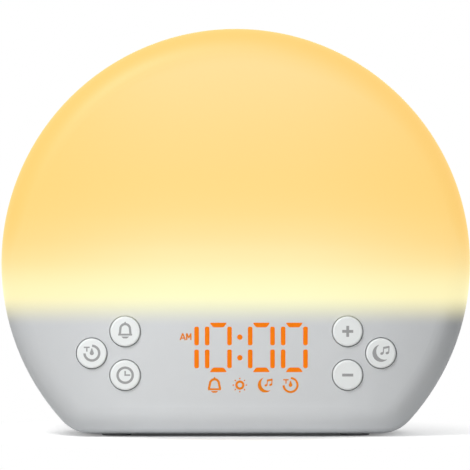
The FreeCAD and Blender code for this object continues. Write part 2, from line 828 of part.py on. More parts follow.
shelf_form = housing_form("ShelfForm", "wall + shelf_gap")
shelf_slab = block("ShelfSlab", "4*disc_radius", "shelf_rear - front_plane", "shelf_thickness",
                   "-2*disc_radius", "front_plane", "shelf_bottom")
shelf_tabs = [block(f"Tab{number}", "tab_width", "tab_thickness", "tab_drop + shelf_thickness/2",
                    f"{side}*board_screw_upper_x - tab_width/2", "board_back",
                    "shelf_bottom - tab_drop")
              for number, side in enumerate((-1, 1), start=1)]
strip_bosses = [bar(f"StripBoss{number}", "small_boss_radius",
                    "strip_boss_height + shelf_thickness/2", f"{side}*strip_screw_x", "strip_y",
                    "shelf_bottom - strip_boss_height", "+Z")
                for number, side in enumerate((-1, 1), start=1)]
shelf_moulding = joined("ShelfMoulding", [shared("Shelf", shelf_form, shelf_slab)]
                        + shelf_tabs + strip_bosses)
shelf_holes = (
    bars("TabPass", "small_pass_radius", "board_back - wall", "3*wall", UPPER_BOARD_PLACES)
    + [bar(f"StripPilot{number}", "small_pilot_radius", "shelf_thickness + strip_boss_height",
           f"{side}*strip_screw_x", "strip_y", "shelf_bottom - strip_boss_height", "+Z")
       for number, side in enumerate((-1, 1), start=1)]
    + [bar("LeadHole", "lead_radius + lead_hole_gap", "2*shelf_thickness", "0", "lead_hole_y",
           "shelf_bottom - shelf_thickness/2", "+Z")])
subpart(cut("LightShelf", shelf_moulding, shelf_holes), "light_shelf")

# Strip of lamps on the shelf

strip = block("StripBlank", "2*strip_half_length", "strip_width", "strip_thickness",
              "-strip_half_length", "strip_y - strip_width/2", "shelf_top")
subpart(cut("LightStrip", strip,
            [bar(f"StripPass{number}", "small_pass_radius", "3*strip_thickness",
                 f"{side}*strip_screw_x", "strip_y", "shelf_top - strip_thickness", "+Z")
             for number, side in enumerate((-1, 1), start=1)]), "led_board")
subpart(group("StripScrews",
              [screw(f"StripScrew{number}", "small", "strip_boss_height + strip_thickness",
                     f"{side}*strip_screw_x", "strip_y", "strip_top", "+Z")
               for number, side in enumerate((-1, 1), start=1)]), "led_board_screws")
subpart(group("Lamps",
              [block(f"Lamp{number}", "led_side", "led_side", "led_height",
                     f"{number - (LED_COUNT - 1) / 2}*led_pitch - led_side/2",
                     "strip_y - led_side/2", "strip_top") for number in range(LED_COUNT)]),
        "leds")

# White reflector behind the light chamber

dish = cut("Dish",
           frustum("DishOutside", "reflector_floor_radius", "reflector_radius", "reflector_rise",
                   "0", "reflector_back", "centre_height", "-Y"),
           [frustum("DishInside", "reflector_floor_radius", "reflector_radius", "reflector_rise",
                    "0", "reflector_back - reflector_thickness", "centre_height", "-Y")])
below_dish = block("BelowDish", "4*reflector_radius", "4*reflector_rise", "2*reflector_radius",
                   "-2*reflector_radius", "reflector_back - 3*reflector_rise",
                   "reflector_bottom - 2*reflector_radius")
subpart(cut("Reflector", dish,
            [below_dish] + bars("DishPass", "small_pass_radius", "reflector_back - wall", "2*wall",
                                REFLECTOR_PLACES)), "reflector")
subpart(group("ReflectorScrews",
              [screw(f"ReflectorScrew{number}", "small", "small_reach", x,
                     "reflector_back - reflector_thickness", z, "-Y")
               for number, (x, z) in enumerate(REFLECTOR_PLACES, start=1)]), "reflector_screws")

# Loudspeaker: it looks out through the grille in the rear cover

flange = [bar("SpeakerFlange", "speaker_radius", "flange_metal", "0", "flange_face", "speaker_z")]
flange += bars("Ear", "ear_radius", "flange_face", "flange_metal", EAR_PLACES)
basket_blank = joined("BasketBlank", flange + [
    frustum("BasketOutside", "basket_floor_radius", "basket_radius", "basket_depth",
            "0", "basket_floor", "speaker_z")])
basket_room = [frustum("BasketInside", "basket_floor_radius - basket_wall",
                       "basket_radius - basket_wall", "basket_depth - basket_wall",
                       "0", "basket_floor + basket_wall", "speaker_z"),
               bar("BasketMouth", "basket_radius - basket_wall", "2*flange_metal", "0",
                   "flange_face", "speaker_z")]
subpart(cut("SpeakerBasket", basket_blank,
            basket_room + bars("EarPass", "small_pass_radius", "flange_face - wall", "3*wall",
                               EAR_PLACES)), "speaker_basket")
CONE_MOUTH = "basket_radius - basket_wall - cone_edge_gap"
subpart(cut("SpeakerCone",
            frustum("ConeOutside", "cone_throat_radius", CONE_MOUTH, "cone_depth",
                    "0", "flange_rear - cone_depth", "speaker_z"),
            [frustum("ConeInside", "cone_throat_radius", CONE_MOUTH, "cone_depth",
                     "0", "flange_rear - cone_depth + cone_paper", "speaker_z")]),
        "speaker_cone")
subpart(bar("SpeakerMagnet", "magnet_radius", "magnet_height", "0", "magnet_face", "speaker_z"),
        "speaker_magnet")
subpart(cut("SpeakerGasket",
            bar("GasketDisc", "speaker_radius", "gasket_thickness", "0", "flange_rear",
                "speaker_z"),
            [bar("GasketBore", "gasket_inner", "2*gasket_thickness", "0",
                 "flange_rear - gasket_thickness/2", "speaker_z")]
            + bars("GasketNotch", "small_boss_radius + pass_gap",
                   "flange_rear - gasket_thickness/2", "2*gasket_thickness", EAR_PLACES)),
        "speaker_gasket")
subpart(group("SpeakerScrews",
              [screw(f"SpeakerScrew{number}", "small", "flange_metal + speaker_ring",
                     x, "flange_face", z, "-Y")
               for number, (x, z) in enumerate(EAR_PLACES, start=1)]), "speaker_screws")

# Power inlet: a barrel socket on its own small board

inlet_blank = joined("InletBlank", [
    centred_block("InletBox", "inlet_width", "inlet_length", "inlet_height",
                  "inlet_x", "inlet_board_back", "inlet_z"),
    bar("InletNose", "inlet_nose_radius", "inlet_nose_length + inlet_length/2",
        "inlet_x", "inlet_face", "inlet_z", "-Y")])
subpart(cut("InletBody", inlet_blank,
            [bar("InletBore", "inlet_bore_radius", "inlet_bore_depth + inlet_recess", "inlet_x",
                 "inlet_face + inlet_recess", "inlet_z", "-Y")]), "inlet_body")
subpart(bar("InletPin", "inlet_pin_radius", "inlet_bore_depth - inlet_pin_set_back", "inlet_x",
            "inlet_face - inlet_bore_depth", "inlet_z"), "inlet_pin")
inlet_plate = plate("InletPlate", "inlet_x - inlet_board_width/2", "inlet_board_width",
                    "inlet_board_front", "board_thickness",
                    "inlet_board_z - inlet_board_height/2", "inlet_board_height", "door_corner")
subpart(cut("InletBoard", inlet_plate,
            bars("InletPass", "small_pass_radius", "inlet_board_front - wall", "3*wall",
                 INLET_SCREW_PLACES)), "inlet_board")
subpart(group("InletScrews",
              [screw(f"InletScrew{number}", "small", "small_reach", x, "inlet_board_front", z,
                     "-Y") for number, (x, z) in enumerate(INLET_SCREW_PLACES, start=1)]),
        "inlet_board_screws")

# Backup cell in its well, and the door under it

subpart(bar("CoinCell", "cell_radius", "cell_height", "cell_x", "door_y", "cell_bottom", "+Z"),
        "coin_cell")


def cell_contact(name, plate_z, stub_z, stub_length):
    """A flat spring contact with a raised stub that touches the cell."""
    return joined(name, [
        block(name + "Strip", "contact_length", "contact_width", "contact_thickness",
              "cell_x - contact_length/2", "door_y - contact_width/2", plate_z),
        bar(name + "Stub", "contact_stub_radius", stub_length, "cell_x", "door_y", stub_z, "+Z")])


subpart(group("CellContacts", [
    cell_contact("UpperContact", "well_ceiling - contact_thickness", "cell_top", "contact_rise"),
    cell_contact("LowerContact", "door_top", "door_top + contact_thickness",
                 "cell_bottom - door_top - contact_thickness")]), "cell_contacts")
door_blank = rounded(
    "DoorBlank",
    block("DoorBox", "door_width - 2*door_gap", "door_depth - 2*door_gap", "door_thickness",
          "door_left + door_gap", "door_y - door_depth/2 + door_gap", "base"),
    "door_corner - door_gap", runs_along(Vector(0, 0, 1)))
subpart(cut("BatteryDoor", door_blank,
            [bar("DoorPass", "door_shank_radius + pass_gap", "2*door_thickness", "door_screw_x",
                 "door_y", "base - door_thickness/2", "+Z"),
             bar("DoorSink", "door_head_radius + pass_gap", "2*door_head_height", "door_screw_x",
                 "door_y", "base - door_head_height", "+Z")]), "battery_door")
subpart(screw("DoorScrew", "door", "small_reach - pilot_spare", "door_screw_x", "door_y",
              "base + door_head_height", "-Z", slotted=True), "battery_door_screw")

# Rubber feet, half sunk in the base

for foot, (foot_x, foot_y) in FOOT_PLACES.items():
    edge = frustum(foot + "Edge", "foot_radius - foot_edge", "foot_radius", "foot_edge",
                   foot_x, foot_y, "0", "+Z")
    puck = bar(foot + "Puck", "foot_radius", "foot_stand + foot_recess - foot_edge",
               foot_x, foot_y, "foot_edge", "+Z")
    subpart(joined(foot + "Whole", [edge, puck]), foot)

# Screws that close the housing, driven from behind

subpart(group("ClosingScrews",
              [screw(f"ClosingScrew{number}", "closing", "closing_seat + closing_reach", x,
                     "parting + closing_seat", z, "+Y", slotted=True)
               for number, (x, z) in enumerate(CLOSING_PLACES, start=1)]), "housing_screws")

# Leads between the boards: straight runs joined by tangent arcs


def lead(name, label, route):
    """A round lead along a route of points, each x, y and z an expression."""
    points = [Vector(*(value(place) for place in point)) for point in route]
    radius = value("lead_radius")
    edges = []
    start = points[0]
    for before, corner, after in zip(points, points[1:], points[2:]):
        back = (before - corner).normalize()
        ahead = (after - corner).normalize()
        shorter = min((before - corner).Length, (after - corner).Length)
        turn = math.pi - back.getAngle(ahead)
        bend = 0.45 * shorter / math.tan(turn / 2)
        to_middle = bend * (1 / math.cos(turn / 2) - 1)
        first = corner + back * (0.45 * shorter)
        last = corner + ahead * (0.45 * shorter)
        middle = corner + (back + ahead).normalize() * to_middle
        edges.append(Part.LineSegment(start, first).toShape())
        edges.append(Part.Arc(first, middle, last).toShape())
        start = last
        print(f"{label}: bend radius {bend:.1f} mm")
    edges.append(Part.LineSegment(start, points[-1]).toShape())
    path = Part.Wire(edges)
    section = Part.Wire([Part.Circle(points[0], points[1] - points[0], radius).toShape()])
    part = doc.addObject("Part::Feature", name)
    part.Shape = path.makePipeShell([section], True, False)
    expected = math.pi * radius ** 2 * path.Length
    print(f"{label}: {path.Length:.1f} mm long, volume {part.Shape.Volume / expected:.4f} of its run")
    return subpart(part, label)


lead("SpeakerLead", "speaker_lead", [
    ("-header_x", "header_back", "header_z"),
    ("-header_x", "header_back + header_length*2.5", "header_z"),
    ("-header_x/2 - speaker_radius/2", "magnet_face", "(header_z + speaker_z)/2"),
    ("-(basket_radius + speaker_radius)/2", "basket_floor", "speaker_z"),
    ("-(basket_radius + speaker_radius)/2", "flange_face", "speaker_z")])
lead("LightLead", "led_lead", [
    ("0", "header_back", "header_z"),
    ("0", "lead_hole_y", "header_z"),
    ("0", "lead_hole_y", "shelf_top")])
lead("PowerLead", "power_lead", [
    ("header_x", "header_back", "header_z"),
    ("header_x", "header_back + header_length*2", "header_z"),
    ("header_x", "inlet_board_front - header_length*2", "inlet_board_z"),
    ("header_x", "inlet_board_front", "inlet_board_z")])

# Check every object, then write each sub-part to its own file

doc.recompute()
for item in doc.Objects:
    if "Invalid" in item.State or "Error" in item.State:
        raise RuntimeError(f"{item.Label} failed: {item.State}")
os.makedirs("parts", exist_ok=True)
for item in SUBPARTS:
    if item.Shape.isNull() or not item.Shape.isValid() or not item.Shape.Solids:
        raise RuntimeError(f"{item.Label} has no valid solid")
for item in SUBPARTS:
    item.Shape.exportStep(os.path.join("parts", item.Label + ".step"))
    box = item.Shape.BoundBox
    print(f"{item.Label}: {len(item.Shape.Solids)} solids, {item.Shape.Volume:.1f} mm3, "
          f"x {box.XMin:.2f} to {box.XMax:.2f}, y {box.YMin:.2f} to {box.YMax:.2f}, "
          f"z {box.ZMin:.2f} to {box.ZMax:.2f}")
print(f"{len(SUBPARTS)} sub-parts")
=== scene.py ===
# %% [markdown]
# # A sunrise alarm clock
# The solids of the clock come from its CAD model, each in its real place and size. This lesson
# dresses them: it gives every moulding a finish, adds the printed and lit marks that are too thin
# to be solids, and lights the clock as a small product photograph.
# Everything is in metres, Z is up, and the face of the clock looks along -Y.

# %% Load the solids
import math

import bmesh
import bpy
from mathutils import Matrix, Vector


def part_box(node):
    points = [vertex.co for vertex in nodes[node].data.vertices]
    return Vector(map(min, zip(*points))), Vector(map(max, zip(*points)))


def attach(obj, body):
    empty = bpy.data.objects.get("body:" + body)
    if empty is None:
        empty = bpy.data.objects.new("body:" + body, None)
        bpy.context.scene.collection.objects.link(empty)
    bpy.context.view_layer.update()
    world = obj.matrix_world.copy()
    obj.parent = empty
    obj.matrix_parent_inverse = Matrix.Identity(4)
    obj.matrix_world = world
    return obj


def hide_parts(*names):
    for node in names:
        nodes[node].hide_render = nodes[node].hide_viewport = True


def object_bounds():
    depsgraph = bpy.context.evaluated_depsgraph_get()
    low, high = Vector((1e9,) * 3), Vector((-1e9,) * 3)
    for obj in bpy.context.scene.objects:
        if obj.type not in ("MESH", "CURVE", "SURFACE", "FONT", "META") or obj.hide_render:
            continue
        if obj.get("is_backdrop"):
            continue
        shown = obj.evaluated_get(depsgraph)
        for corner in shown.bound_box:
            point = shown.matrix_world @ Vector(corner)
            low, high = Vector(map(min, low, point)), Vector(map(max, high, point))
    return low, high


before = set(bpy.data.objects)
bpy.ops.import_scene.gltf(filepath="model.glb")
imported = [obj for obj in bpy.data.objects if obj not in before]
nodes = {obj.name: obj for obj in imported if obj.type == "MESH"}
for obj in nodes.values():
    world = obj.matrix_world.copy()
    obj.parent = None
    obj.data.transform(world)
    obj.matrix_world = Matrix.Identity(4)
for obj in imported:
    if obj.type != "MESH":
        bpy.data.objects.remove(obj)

cad_box = [list(corner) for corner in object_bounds()]
print(len(nodes), "solids; lowest and highest corners", cad_box)

# %% [markdown]
# ## Places on the clock
# The drawing of the clock is in millimetres, so a few of its places are repeated here in
# millimetres and turned to metres only when a mesh is finished. The round outline has its centre
# 69.3 mm above the table. The face lies at y = -34.8 and the button caps stand 1.2 mm proud of it.

# %% Name the places
MM = 0.001
DISC_CENTRE_Z = 69.3
FACE_Y = -34.8
CAP_Y = -36.0
PRINT_THICKNESS = 0.04
WHITE, BLACK = (1.0, 1.0, 1.0), (0.0, 0.0, 0.0)
BUTTONS = {
    "alarm": (-44.3, 42.3),
    "timer": (-57.6, 33.6),
    "clock": (-44.3, 24.9),
    "plus": (44.3, 42.3),
    "sleep": (57.6, 33.6),
    "minus": (44.3, 24.9),
}
for button, (x, z) in BUTTONS.items():
    low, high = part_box(f"{button}_cap")
    print(button, "cap is", round(((low + high) / 2).x / MM - x, 3), "mm off its drawn place")

# %% [markdown]
# ## The camera
# The photograph shows the clock almost square on. Hardly any vanishing lines show, so the lens is
# long, but it isn't endlessly far away: the table shows in front of the base, which is seen from
# a little above, while nothing of the top's far edge shows. The camera therefore looks level, from
# the height of the outline's middle. The face sits a touch right of that middle, so the camera
# stands one degree to the left.

# %% Set up the camera
LENS = 300.0
SENSOR = 36.0
FRAME_WIDTH = 188.48
NEAR_EDGE_Y = -24.0
AZIMUTH = math.radians(-0.94)
ELEVATION = math.radians(0.3)
AIM = Vector((0.0, 0.0, 0.0805))

camera_data = bpy.data.cameras.new("product_camera")
camera_data.lens = LENS
camera_data.sensor_width = SENSOR
camera_data.clip_start = 0.1
camera_data.clip_end = 30.0
camera = bpy.data.objects.new("product_camera", camera_data)
bpy.context.scene.collection.objects.link(camera)
distance = FRAME_WIDTH * MM * LENS / SENSOR - NEAR_EDGE_Y * MM
backwards = Vector((math.sin(AZIMUTH) * math.cos(ELEVATION),
                    -math.cos(AZIMUTH) * math.cos(ELEVATION), math.sin(ELEVATION)))
camera.location = AIM + backwards * distance
camera.rotation_euler = (-backwards).to_track_quat("-Z", "Y").to_euler()
bpy.context.scene.camera = camera
print("camera stands", round(distance, 3), "m away")

# %% [markdown]
# ## Shader sums
# A finish that changes over a surface is a small calculation that the renderer does at each
# point. Wiring Math nodes one by one hides the idea, so `Sum` wraps a socket and lets Python's
# own signs add the nodes: `(x * x + z * z).root()` makes four of them.

# %% Write sums on sockets


class Sum:
    """A number that the shader works out at each point of a surface."""

    def __init__(self, tree, socket):
        self.tree = tree
        self.socket = socket

    def maths(self, operation, *values):
        """Add a Math node whose inputs are sums or plain numbers."""
        node = self.tree.nodes.new("ShaderNodeMath")
        node.operation = operation
        for place, given in enumerate(values):
            if isinstance(given, Sum):
                self.tree.links.new(given.socket, node.inputs[place])
            else:
                node.inputs[place].default_value = given
        return Sum(self.tree, node.outputs[0])

    def __add__(self, other):
        return self.maths("ADD", self, other)

    def __sub__(self, other):
        return self.maths("SUBTRACT", self, other)

    def __rsub__(self, other):
        return self.maths("SUBTRACT", other, self)

    def __mul__(self, other):
        return self.maths("MULTIPLY", self, other)

    def __truediv__(self, other):
        return self.maths("DIVIDE", self, other)

    def __rtruediv__(self, other):
        return self.maths("DIVIDE", other, self)

    __radd__ = __add__
    __rmul__ = __mul__

    def root(self):
        return self.maths("SQRT", self)

    def size(self):
        return self.maths("ABSOLUTE", self)

    def wave(self):
        return self.maths("SINE", self)

    def most(self, other):
        return self.maths("MAXIMUM", self, other)


print("sums know", [word for word in vars(Sum) if not word.startswith("_")])

# %% [markdown]
# ## Wiring
# `Wiring` adds nodes to a tree. Its `node` method takes the kind of node, the settings that must
# come first, and the values or links of its sockets. Light Path tells a ray that ends in the
# picture from one that only lights something, so that paper and sky can be white to look at
# without lighting the clock.

# %% Add nodes to a tree


class Wiring:
    """A tree of shader nodes, and short ways to add to it."""

    def __init__(self, tree):
        self.tree = tree

    def feed(self, socket, given):
        """Link a sum or an output to a socket, or set its value."""
        if isinstance(given, Sum):
            given = given.socket
        if isinstance(given, bpy.types.NodeSocket):
            self.tree.links.new(given, socket)
        elif isinstance(given, tuple) and len(given) == 3 and socket.type == "RGBA":
            socket.default_value = (*given, 1.0)
        else:
            socket.default_value = given

    def node(self, kind, settings=None, **inputs):
        """A node of a kind, its settings, then its sockets by identifier or name."""
        made = self.tree.nodes.new("ShaderNode" + kind)
        for word, setting in (settings or {}).items():
            setattr(made, word, setting)
        for name, given in inputs.items():
            words = name.replace("_", " ")
            matches = [socket for socket in made.inputs
                       if socket.identifier in (name, words) or socket.name == words]
            self.feed(matches[0], given)
        return made

    def shows(self):
        """1 for a ray from the camera, a shiny piece or a clear piece, and 0 for any other."""
        rays = self.node("LightPath").outputs
        straight, mirrored, through = [Sum(self.tree, rays[f"Is {kind} Ray"])
                                       for kind in ("Camera", "Glossy", "Transmission")]
        return straight.most(mirrored).most(through)


print("wiring knows", [word for word in vars(Wiring) if not word.startswith("_")])

# %% [markdown]
# ## Finishes
# `Finish` is the wiring of one material. Its `place` gives the object's own coordinates in
# millimetres. The solids sit at the origin, so these are the same millimetres as in the drawing,
# and a pattern stays on its part when a button moves.

# %% Build a finish


class Finish(Wiring):
    """A material with its shader, and the patterns that vary it."""

    def __init__(self, name):
        self.material = bpy.data.materials.new(name)
        self.material.use_nodes = True
        super().__init__(self.material.node_tree)
        self.shader = self.tree.nodes["Principled BSDF"]

    def place(self):
        """x, y and z on the object, in millimetres, as three sums."""
        coordinates = self.node("TexCoord").outputs["Object"]
        apart = self.node("SeparateXYZ", Vector=coordinates)
        return [Sum(self.tree, apart.outputs[axis]) * 1000.0 for axis in "XYZ"]

    def noise(self, size_mm, detail=2.0):
        """Soft noise from 0 to 1 whose blobs are about this many millimetres across."""
        coordinates = self.node("TexCoord").outputs["Object"]
        made = self.node("TexNoise", Vector=coordinates, Scale=1000.0 / size_mm, Detail=detail)
        return Sum(self.tree, made.outputs["Fac"])

    def rise(self, amount, start, end):
        """0 before start, 1 after end and a smooth climb between."""
        made = self.node("MapRange", {"interpolation_type": "SMOOTHSTEP"}, Value=amount,
                         From_Min=start, From_Max=end)
        return Sum(self.tree, made.outputs["Result"])

    def between(self, amount, one, other):
        """A colour that goes from one to the other as the amount goes from 0 to 1."""
        made = self.node("Mix", {"data_type": "RGBA"}, Factor_Float=amount, A_Color=one,
                         B_Color=other)
        return [socket for socket in made.outputs if socket.identifier == "Result_Color"][0]

    def ramp(self, amount, stops):
        """A colour ramp with smooth steps through the stops, each a position and a colour."""
        made = self.node("ValToRGB", Fac=amount)
        made.color_ramp.interpolation = "CARDINAL"
        elements = made.color_ramp.elements
        while len(elements) < len(stops):
            elements.new(0.5)
        for element, (position, colour) in zip(elements, stops):
            element.position = position
            element.color = (*colour, 1.0)
        return made.outputs["Color"]

    def bump(self, height, depth_mm, strength=1.0):
        """Raise the surface by the height times the depth."""
        made = self.node("Bump", Height=height, Distance=depth_mm * MM, Strength=strength)
        self.wire(Normal=made.outputs["Normal"])

    def wire(self, **inputs):
        """Set or link sockets of the shader itself."""
        for name, given in inputs.items():
            self.feed(self.shader.inputs[name.replace("_", " ")], given)


def shade(colour, factor):
    """A colour made darker or lighter."""
    return tuple(min(part * factor, 1.0) for part in colour)


def wear(material, *solids):
    """Give a finish to solids or pieces by object, whatever slots they have."""
    for solid in solids:
        if not solid.material_slots:
            solid.data.materials.append(material)
        for material_slot in solid.material_slots:
            material_slot.material = material
    return len(solids)


print("a finish also knows", [word for word in vars(Finish) if not word.startswith("_")])

# %% [markdown]
# ## Lamps
# The clock was lit by a broad soft lamp up on the left, because the buttons drop a short soft
# shadow to the lower right and the right edge of the housing falls into grey. A weak lamp low in
# front stands for the light that a white table throws up at the base, and one behind lights the
# cover for anyone who walks round. Each is a square area lamp, whose size softens its shadows.

# %% Hang the lamps
KEY_WHITE = (1.0, 0.99, 0.975)
KEY_POWER = 1.94
KEY_SIZE = 0.16
KEY_PLACE = Vector((-0.21, -0.32, 0.42))
KEY_AIM = Vector((-0.02, -0.03, 0.06))
FILL_POWER = 0.44
FILL_SIZE = 0.22
FILL_PLACE = Vector((-0.04, -0.42, 0.012))
FILL_AIM = Vector((0.0, -0.03, 0.02))
BACK_POWER = 1.35
BACK_SIZE = 0.30
BACK_PLACE = Vector((0.06, 0.62, 0.16))
BACK_AIM = Vector((0.0, 0.03, 0.07))


def soft_lamp(name, place, aim, size, power, colour):
    """A square area lamp that looks at a point."""
    data = bpy.data.lights.new(name, "AREA")
    data.shape = "SQUARE"
    data.size = size
    data.energy = power
    data.color = colour
    lamp = bpy.data.objects.new(name, data)
    bpy.context.scene.collection.objects.link(lamp)
    lamp.location = place
    lamp.rotation_euler = (aim - place).to_track_quat("-Z", "Y").to_euler()
    print(name, power, "W,", round((aim - place).length, 3), "m from what it lights")


soft_lamp("key_lamp", KEY_PLACE, KEY_AIM, KEY_SIZE, KEY_POWER, KEY_WHITE)
soft_lamp("table_fill", FILL_PLACE, FILL_AIM, FILL_SIZE, FILL_POWER, WHITE)
soft_lamp("back_lamp", BACK_PLACE, BACK_AIM, BACK_SIZE, BACK_POWER, WHITE)

# %% [markdown]
# ## Sky
# A dim even sky fills what the lamps leave dark. It is plain white where it shows in the picture,
# straight or in a shiny or clear piece, and dimmer as a lamp, so that the pale plastic doesn't
# burn out.

# %% Open the sky
SKY_LEVEL = 0.29
SKY_TINT = (0.96, 0.98, 1.0)

world = bpy.data.worlds.new("studio")
bpy.context.scene.world = world
world.use_nodes = True
sky = Wiring(world.node_tree)
sky.tree.nodes.clear()
lighting = sky.node("Background", Color=SKY_TINT, Strength=SKY_LEVEL)
backdrop = sky.node("Background", Color=WHITE, Strength=1.0)
choice = sky.node("MixShader", Fac=sky.shows(), Shader=lighting.outputs[0],
                  Shader_001=backdrop.outputs[0])
sky.node("OutputWorld", Surface=choice.outputs[0])
bpy.context.scene.view_settings.view_transform = "Standard"
print("sky level", SKY_LEVEL, "as a lamp and 1.0 in the picture")

# %% [markdown]
# ## The glowing shell
# On the real clock the whole front is one white moulding. Lamps on a shelf behind it light the
# upper part from below, so it is brightest just above the shelf and turns from lemon to amber as
# the light climbs, with a deeper amber where the wall curves away at the rim. Below the shelf no
# light gets through and the plastic looks pale grey. Painted shade darkens the grey sideways, and
# painted light, standing for what the table throws back, lifts it at the foot.
# A pair of numbers in brackets says where a change starts and ends, in millimetres: heights over
# the table, sides as distances from the middle line, and radii from the outline's centre.

# %% Choose the colours of the shell
GREY_PLASTIC = (0.588, 0.606, 0.624)
MOTTLE_SPREAD = 0.015
# Painted shade darkens the grey towards the sides, and painted table light lifts it at the foot.
GREY_PAINTED_SIDE_SHADE, GREY_PAINTED_TABLE_LIGHT = 0.84, 1.20
PAINTED_SHADE_SIDES = (38.0, 94.0)
PAINTED_TABLE_LIGHT_HEIGHTS, PAINTED_TABLE_LIGHT_SIDES = (16.0, 2.0), (70.0, 30.0)
LIT_HEIGHTS = (44.0, 57.0)
RAMP_START, RAMP_SPAN = 45.0, 118.0
GLOW_STOPS = (
    (0.00, (0.960, 0.945, 0.590)),
    (0.10, (1.000, 0.965, 0.570)),
    (0.19, (1.000, 0.875, 0.460)),
    (0.27, (1.000, 0.785, 0.360)),
    (0.37, (1.000, 0.715, 0.265)),
    (0.54, (1.000, 0.690, 0.240)),
    (0.93, (1.000, 0.725, 0.315)),
)
AMBER_RIM = (1.0, 0.635, 0.170)
RIM_RADII, RIM_HEIGHTS = (78.0, 95.0), (48.0, 92.0)
AMBER_SIDES, AMBER_HEIGHTS = (18.0, 96.0), (58.0, 78.0)
LOW_AMBER, MORE_AMBER = 0.17, 0.33
EMITTED_SHARE = 0.91
BOW_DEPTH, BOW_RADIUS = 3.0, 83.0
GRAIN_DEPTH = 0.004
print("the glow climbs through", len(GLOW_STOPS), "colours from", RAMP_START, "to",
      RAMP_START + RAMP_SPAN, "mm")

# %% [markdown]
# A lamp inside real translucent plastic would be noisy and slow to render. Instead the colour of
# the glow is a ramp over the height, used partly as emission and partly as the plastic's colour,
# so the form still catches the studio light. The face is flat in outline, but on the real clock
# its shading turns towards the rim as on a shallow dome, so a bump bows it by a few millimetres.

# %% Mix the glow


def glow_colour(finish, x, z, from_centre):
    """The ramp over the height, turned to amber at the rim and the sides."""
    glow = finish.ramp((z - RAMP_START) / RAMP_SPAN, GLOW_STOPS)
    rim = finish.rise(from_centre, *RIM_RADII) * finish.rise(z, *RIM_HEIGHTS)
    higher = finish.rise(z, *AMBER_HEIGHTS)
    aside = finish.rise(x.size(), *AMBER_SIDES) * (MORE_AMBER * higher + LOW_AMBER)
    return finish.between(rim.most(aside), glow, AMBER_RIM)


def grey_colour(finish, x, z):
    """Faintly mottled grey, with painted shade at the sides and painted table light at the foot.
    """
    mottle = finish.noise(9.0)
    grey = finish.between(mottle, shade(GREY_PLASTIC, 1 - MOTTLE_SPREAD),
                          shade(GREY_PLASTIC, 1 + MOTTLE_SPREAD))
    # Painted shade: darker towards the sides.
    grey = finish.between(finish.rise(x.size(), *PAINTED_SHADE_SIDES), grey,
                          shade(GREY_PLASTIC, GREY_PAINTED_SIDE_SHADE))
    # Painted light from the table: lighter at the foot.
    foot = finish.rise(z, *PAINTED_TABLE_LIGHT_HEIGHTS) * finish.rise(x.size(), *PAINTED_TABLE_LIGHT_SIDES)
    return finish.between(foot, grey, shade(GREY_PLASTIC, GREY_PAINTED_TABLE_LIGHT))


def diffuser_finish():
    """Grey plastic below, light from within above."""
    finish = Finish("moulded_diffuser")
    x, y, z = finish.place()
    up = z - DISC_CENTRE_Z
    from_centre = (x * x + up * up).root()
    glow = glow_colour(finish, x, z, from_centre)
    grey = grey_colour(finish, x, z)
    lit = finish.rise(z, *LIT_HEIGHTS)
    dimmed = finish.between(1.0 - EMITTED_SHARE, BLACK, glow)
    finish.wire(Base_Color=finish.between(lit, grey, dimmed),
                Emission_Color=finish.between(lit, BLACK, glow),
                Roughness=0.46 + 0.06 * finish.noise(0.8),
                Emission_Strength=EMITTED_SHARE, Specular_IOR_Level=0.22)
    bow = (from_centre / BOW_RADIUS) * (from_centre / BOW_RADIUS)
    finish.bump(finish.noise(0.35, 3.0) * GRAIN_DEPTH - bow * BOW_DEPTH,
                depth_mm=1.0)
    return finish.material


diffuser = diffuser_finish()
print(wear(diffuser, nodes["front_shell"]), "shell wears it; it glows from", LIT_HEIGHTS[0], "mm")

# %% [markdown]
# ## Moulded plastics and other plain finishes
# The hidden mouldings, boards and rubber parts need the same few ideas: a colour that wavers a
# little, a roughness that wavers too, and a fine grain. One function makes them all. It takes a
# colour, a roughness, the size and strength of the mottling, and the size and depth of the grain,
# in that order. The sizes and the depth are in millimetres.

# %% Make the plain finishes


def plain_finish(name, colour, roughness, mottle_mm=8.0, spread=0.03, grain_mm=0.4,
                 grain_depth=0.01):
    """A moulded, rubbed or painted finish of one colour."""
    finish = Finish(name)
    wave = finish.noise(mottle_mm)
    grain = finish.noise(grain_mm, 3.0)
    finish.wire(Base_Color=finish.between(wave, shade(colour, 1 - spread),
                                          shade(colour, 1 + spread)),
                Roughness=roughness * (0.9 + 0.2 * grain), Specular_IOR_Level=0.4)
    finish.bump(grain, grain_depth, 0.7)
    return finish.material


cover_plastic = plain_finish("cover_plastic", (0.68, 0.685, 0.69), 0.42, 10.0, 0.015, 0.35, 0.008)
cap_plastic = plain_finish("cap_plastic", (0.72, 0.745, 0.75), 0.34, 5.0, 0.012, 0.25, 0.003)
reflector_white = plain_finish("reflector_white", (0.88, 0.87, 0.85), 0.55, 12.0, 0.02)
display_black = plain_finish("display_black", (0.03, 0.03, 0.032), 0.5, 5.0, 0.15)
light_guide = plain_finish("light_guide", (0.78, 0.62, 0.48), 0.2, 4.0, 0.05, 0.3, 0.002)
lamp_lens = plain_finish("lamp_lens", (0.95, 0.88, 0.60), 0.25, 2.0, 0.06, 0.3, 0.002)
chip_resin = plain_finish("chip_resin", (0.025, 0.026, 0.028), 0.55, 3.0, 0.2, 0.15, 0.01)
capacitor_sleeve = plain_finish("capacitor_sleeve", (0.05, 0.07, 0.12), 0.35, 6.0, 0.1)
header_nylon = plain_finish("header_nylon", (0.75, 0.73, 0.66), 0.45, 4.0, 0.04)
lead_sleeve = plain_finish("lead_sleeve", (0.42, 0.03, 0.02), 0.4, 10.0, 0.1, 0.5, 0.01)
switch_black = plain_finish("switch_black", (0.035, 0.035, 0.037), 0.45, 3.0, 0.15)
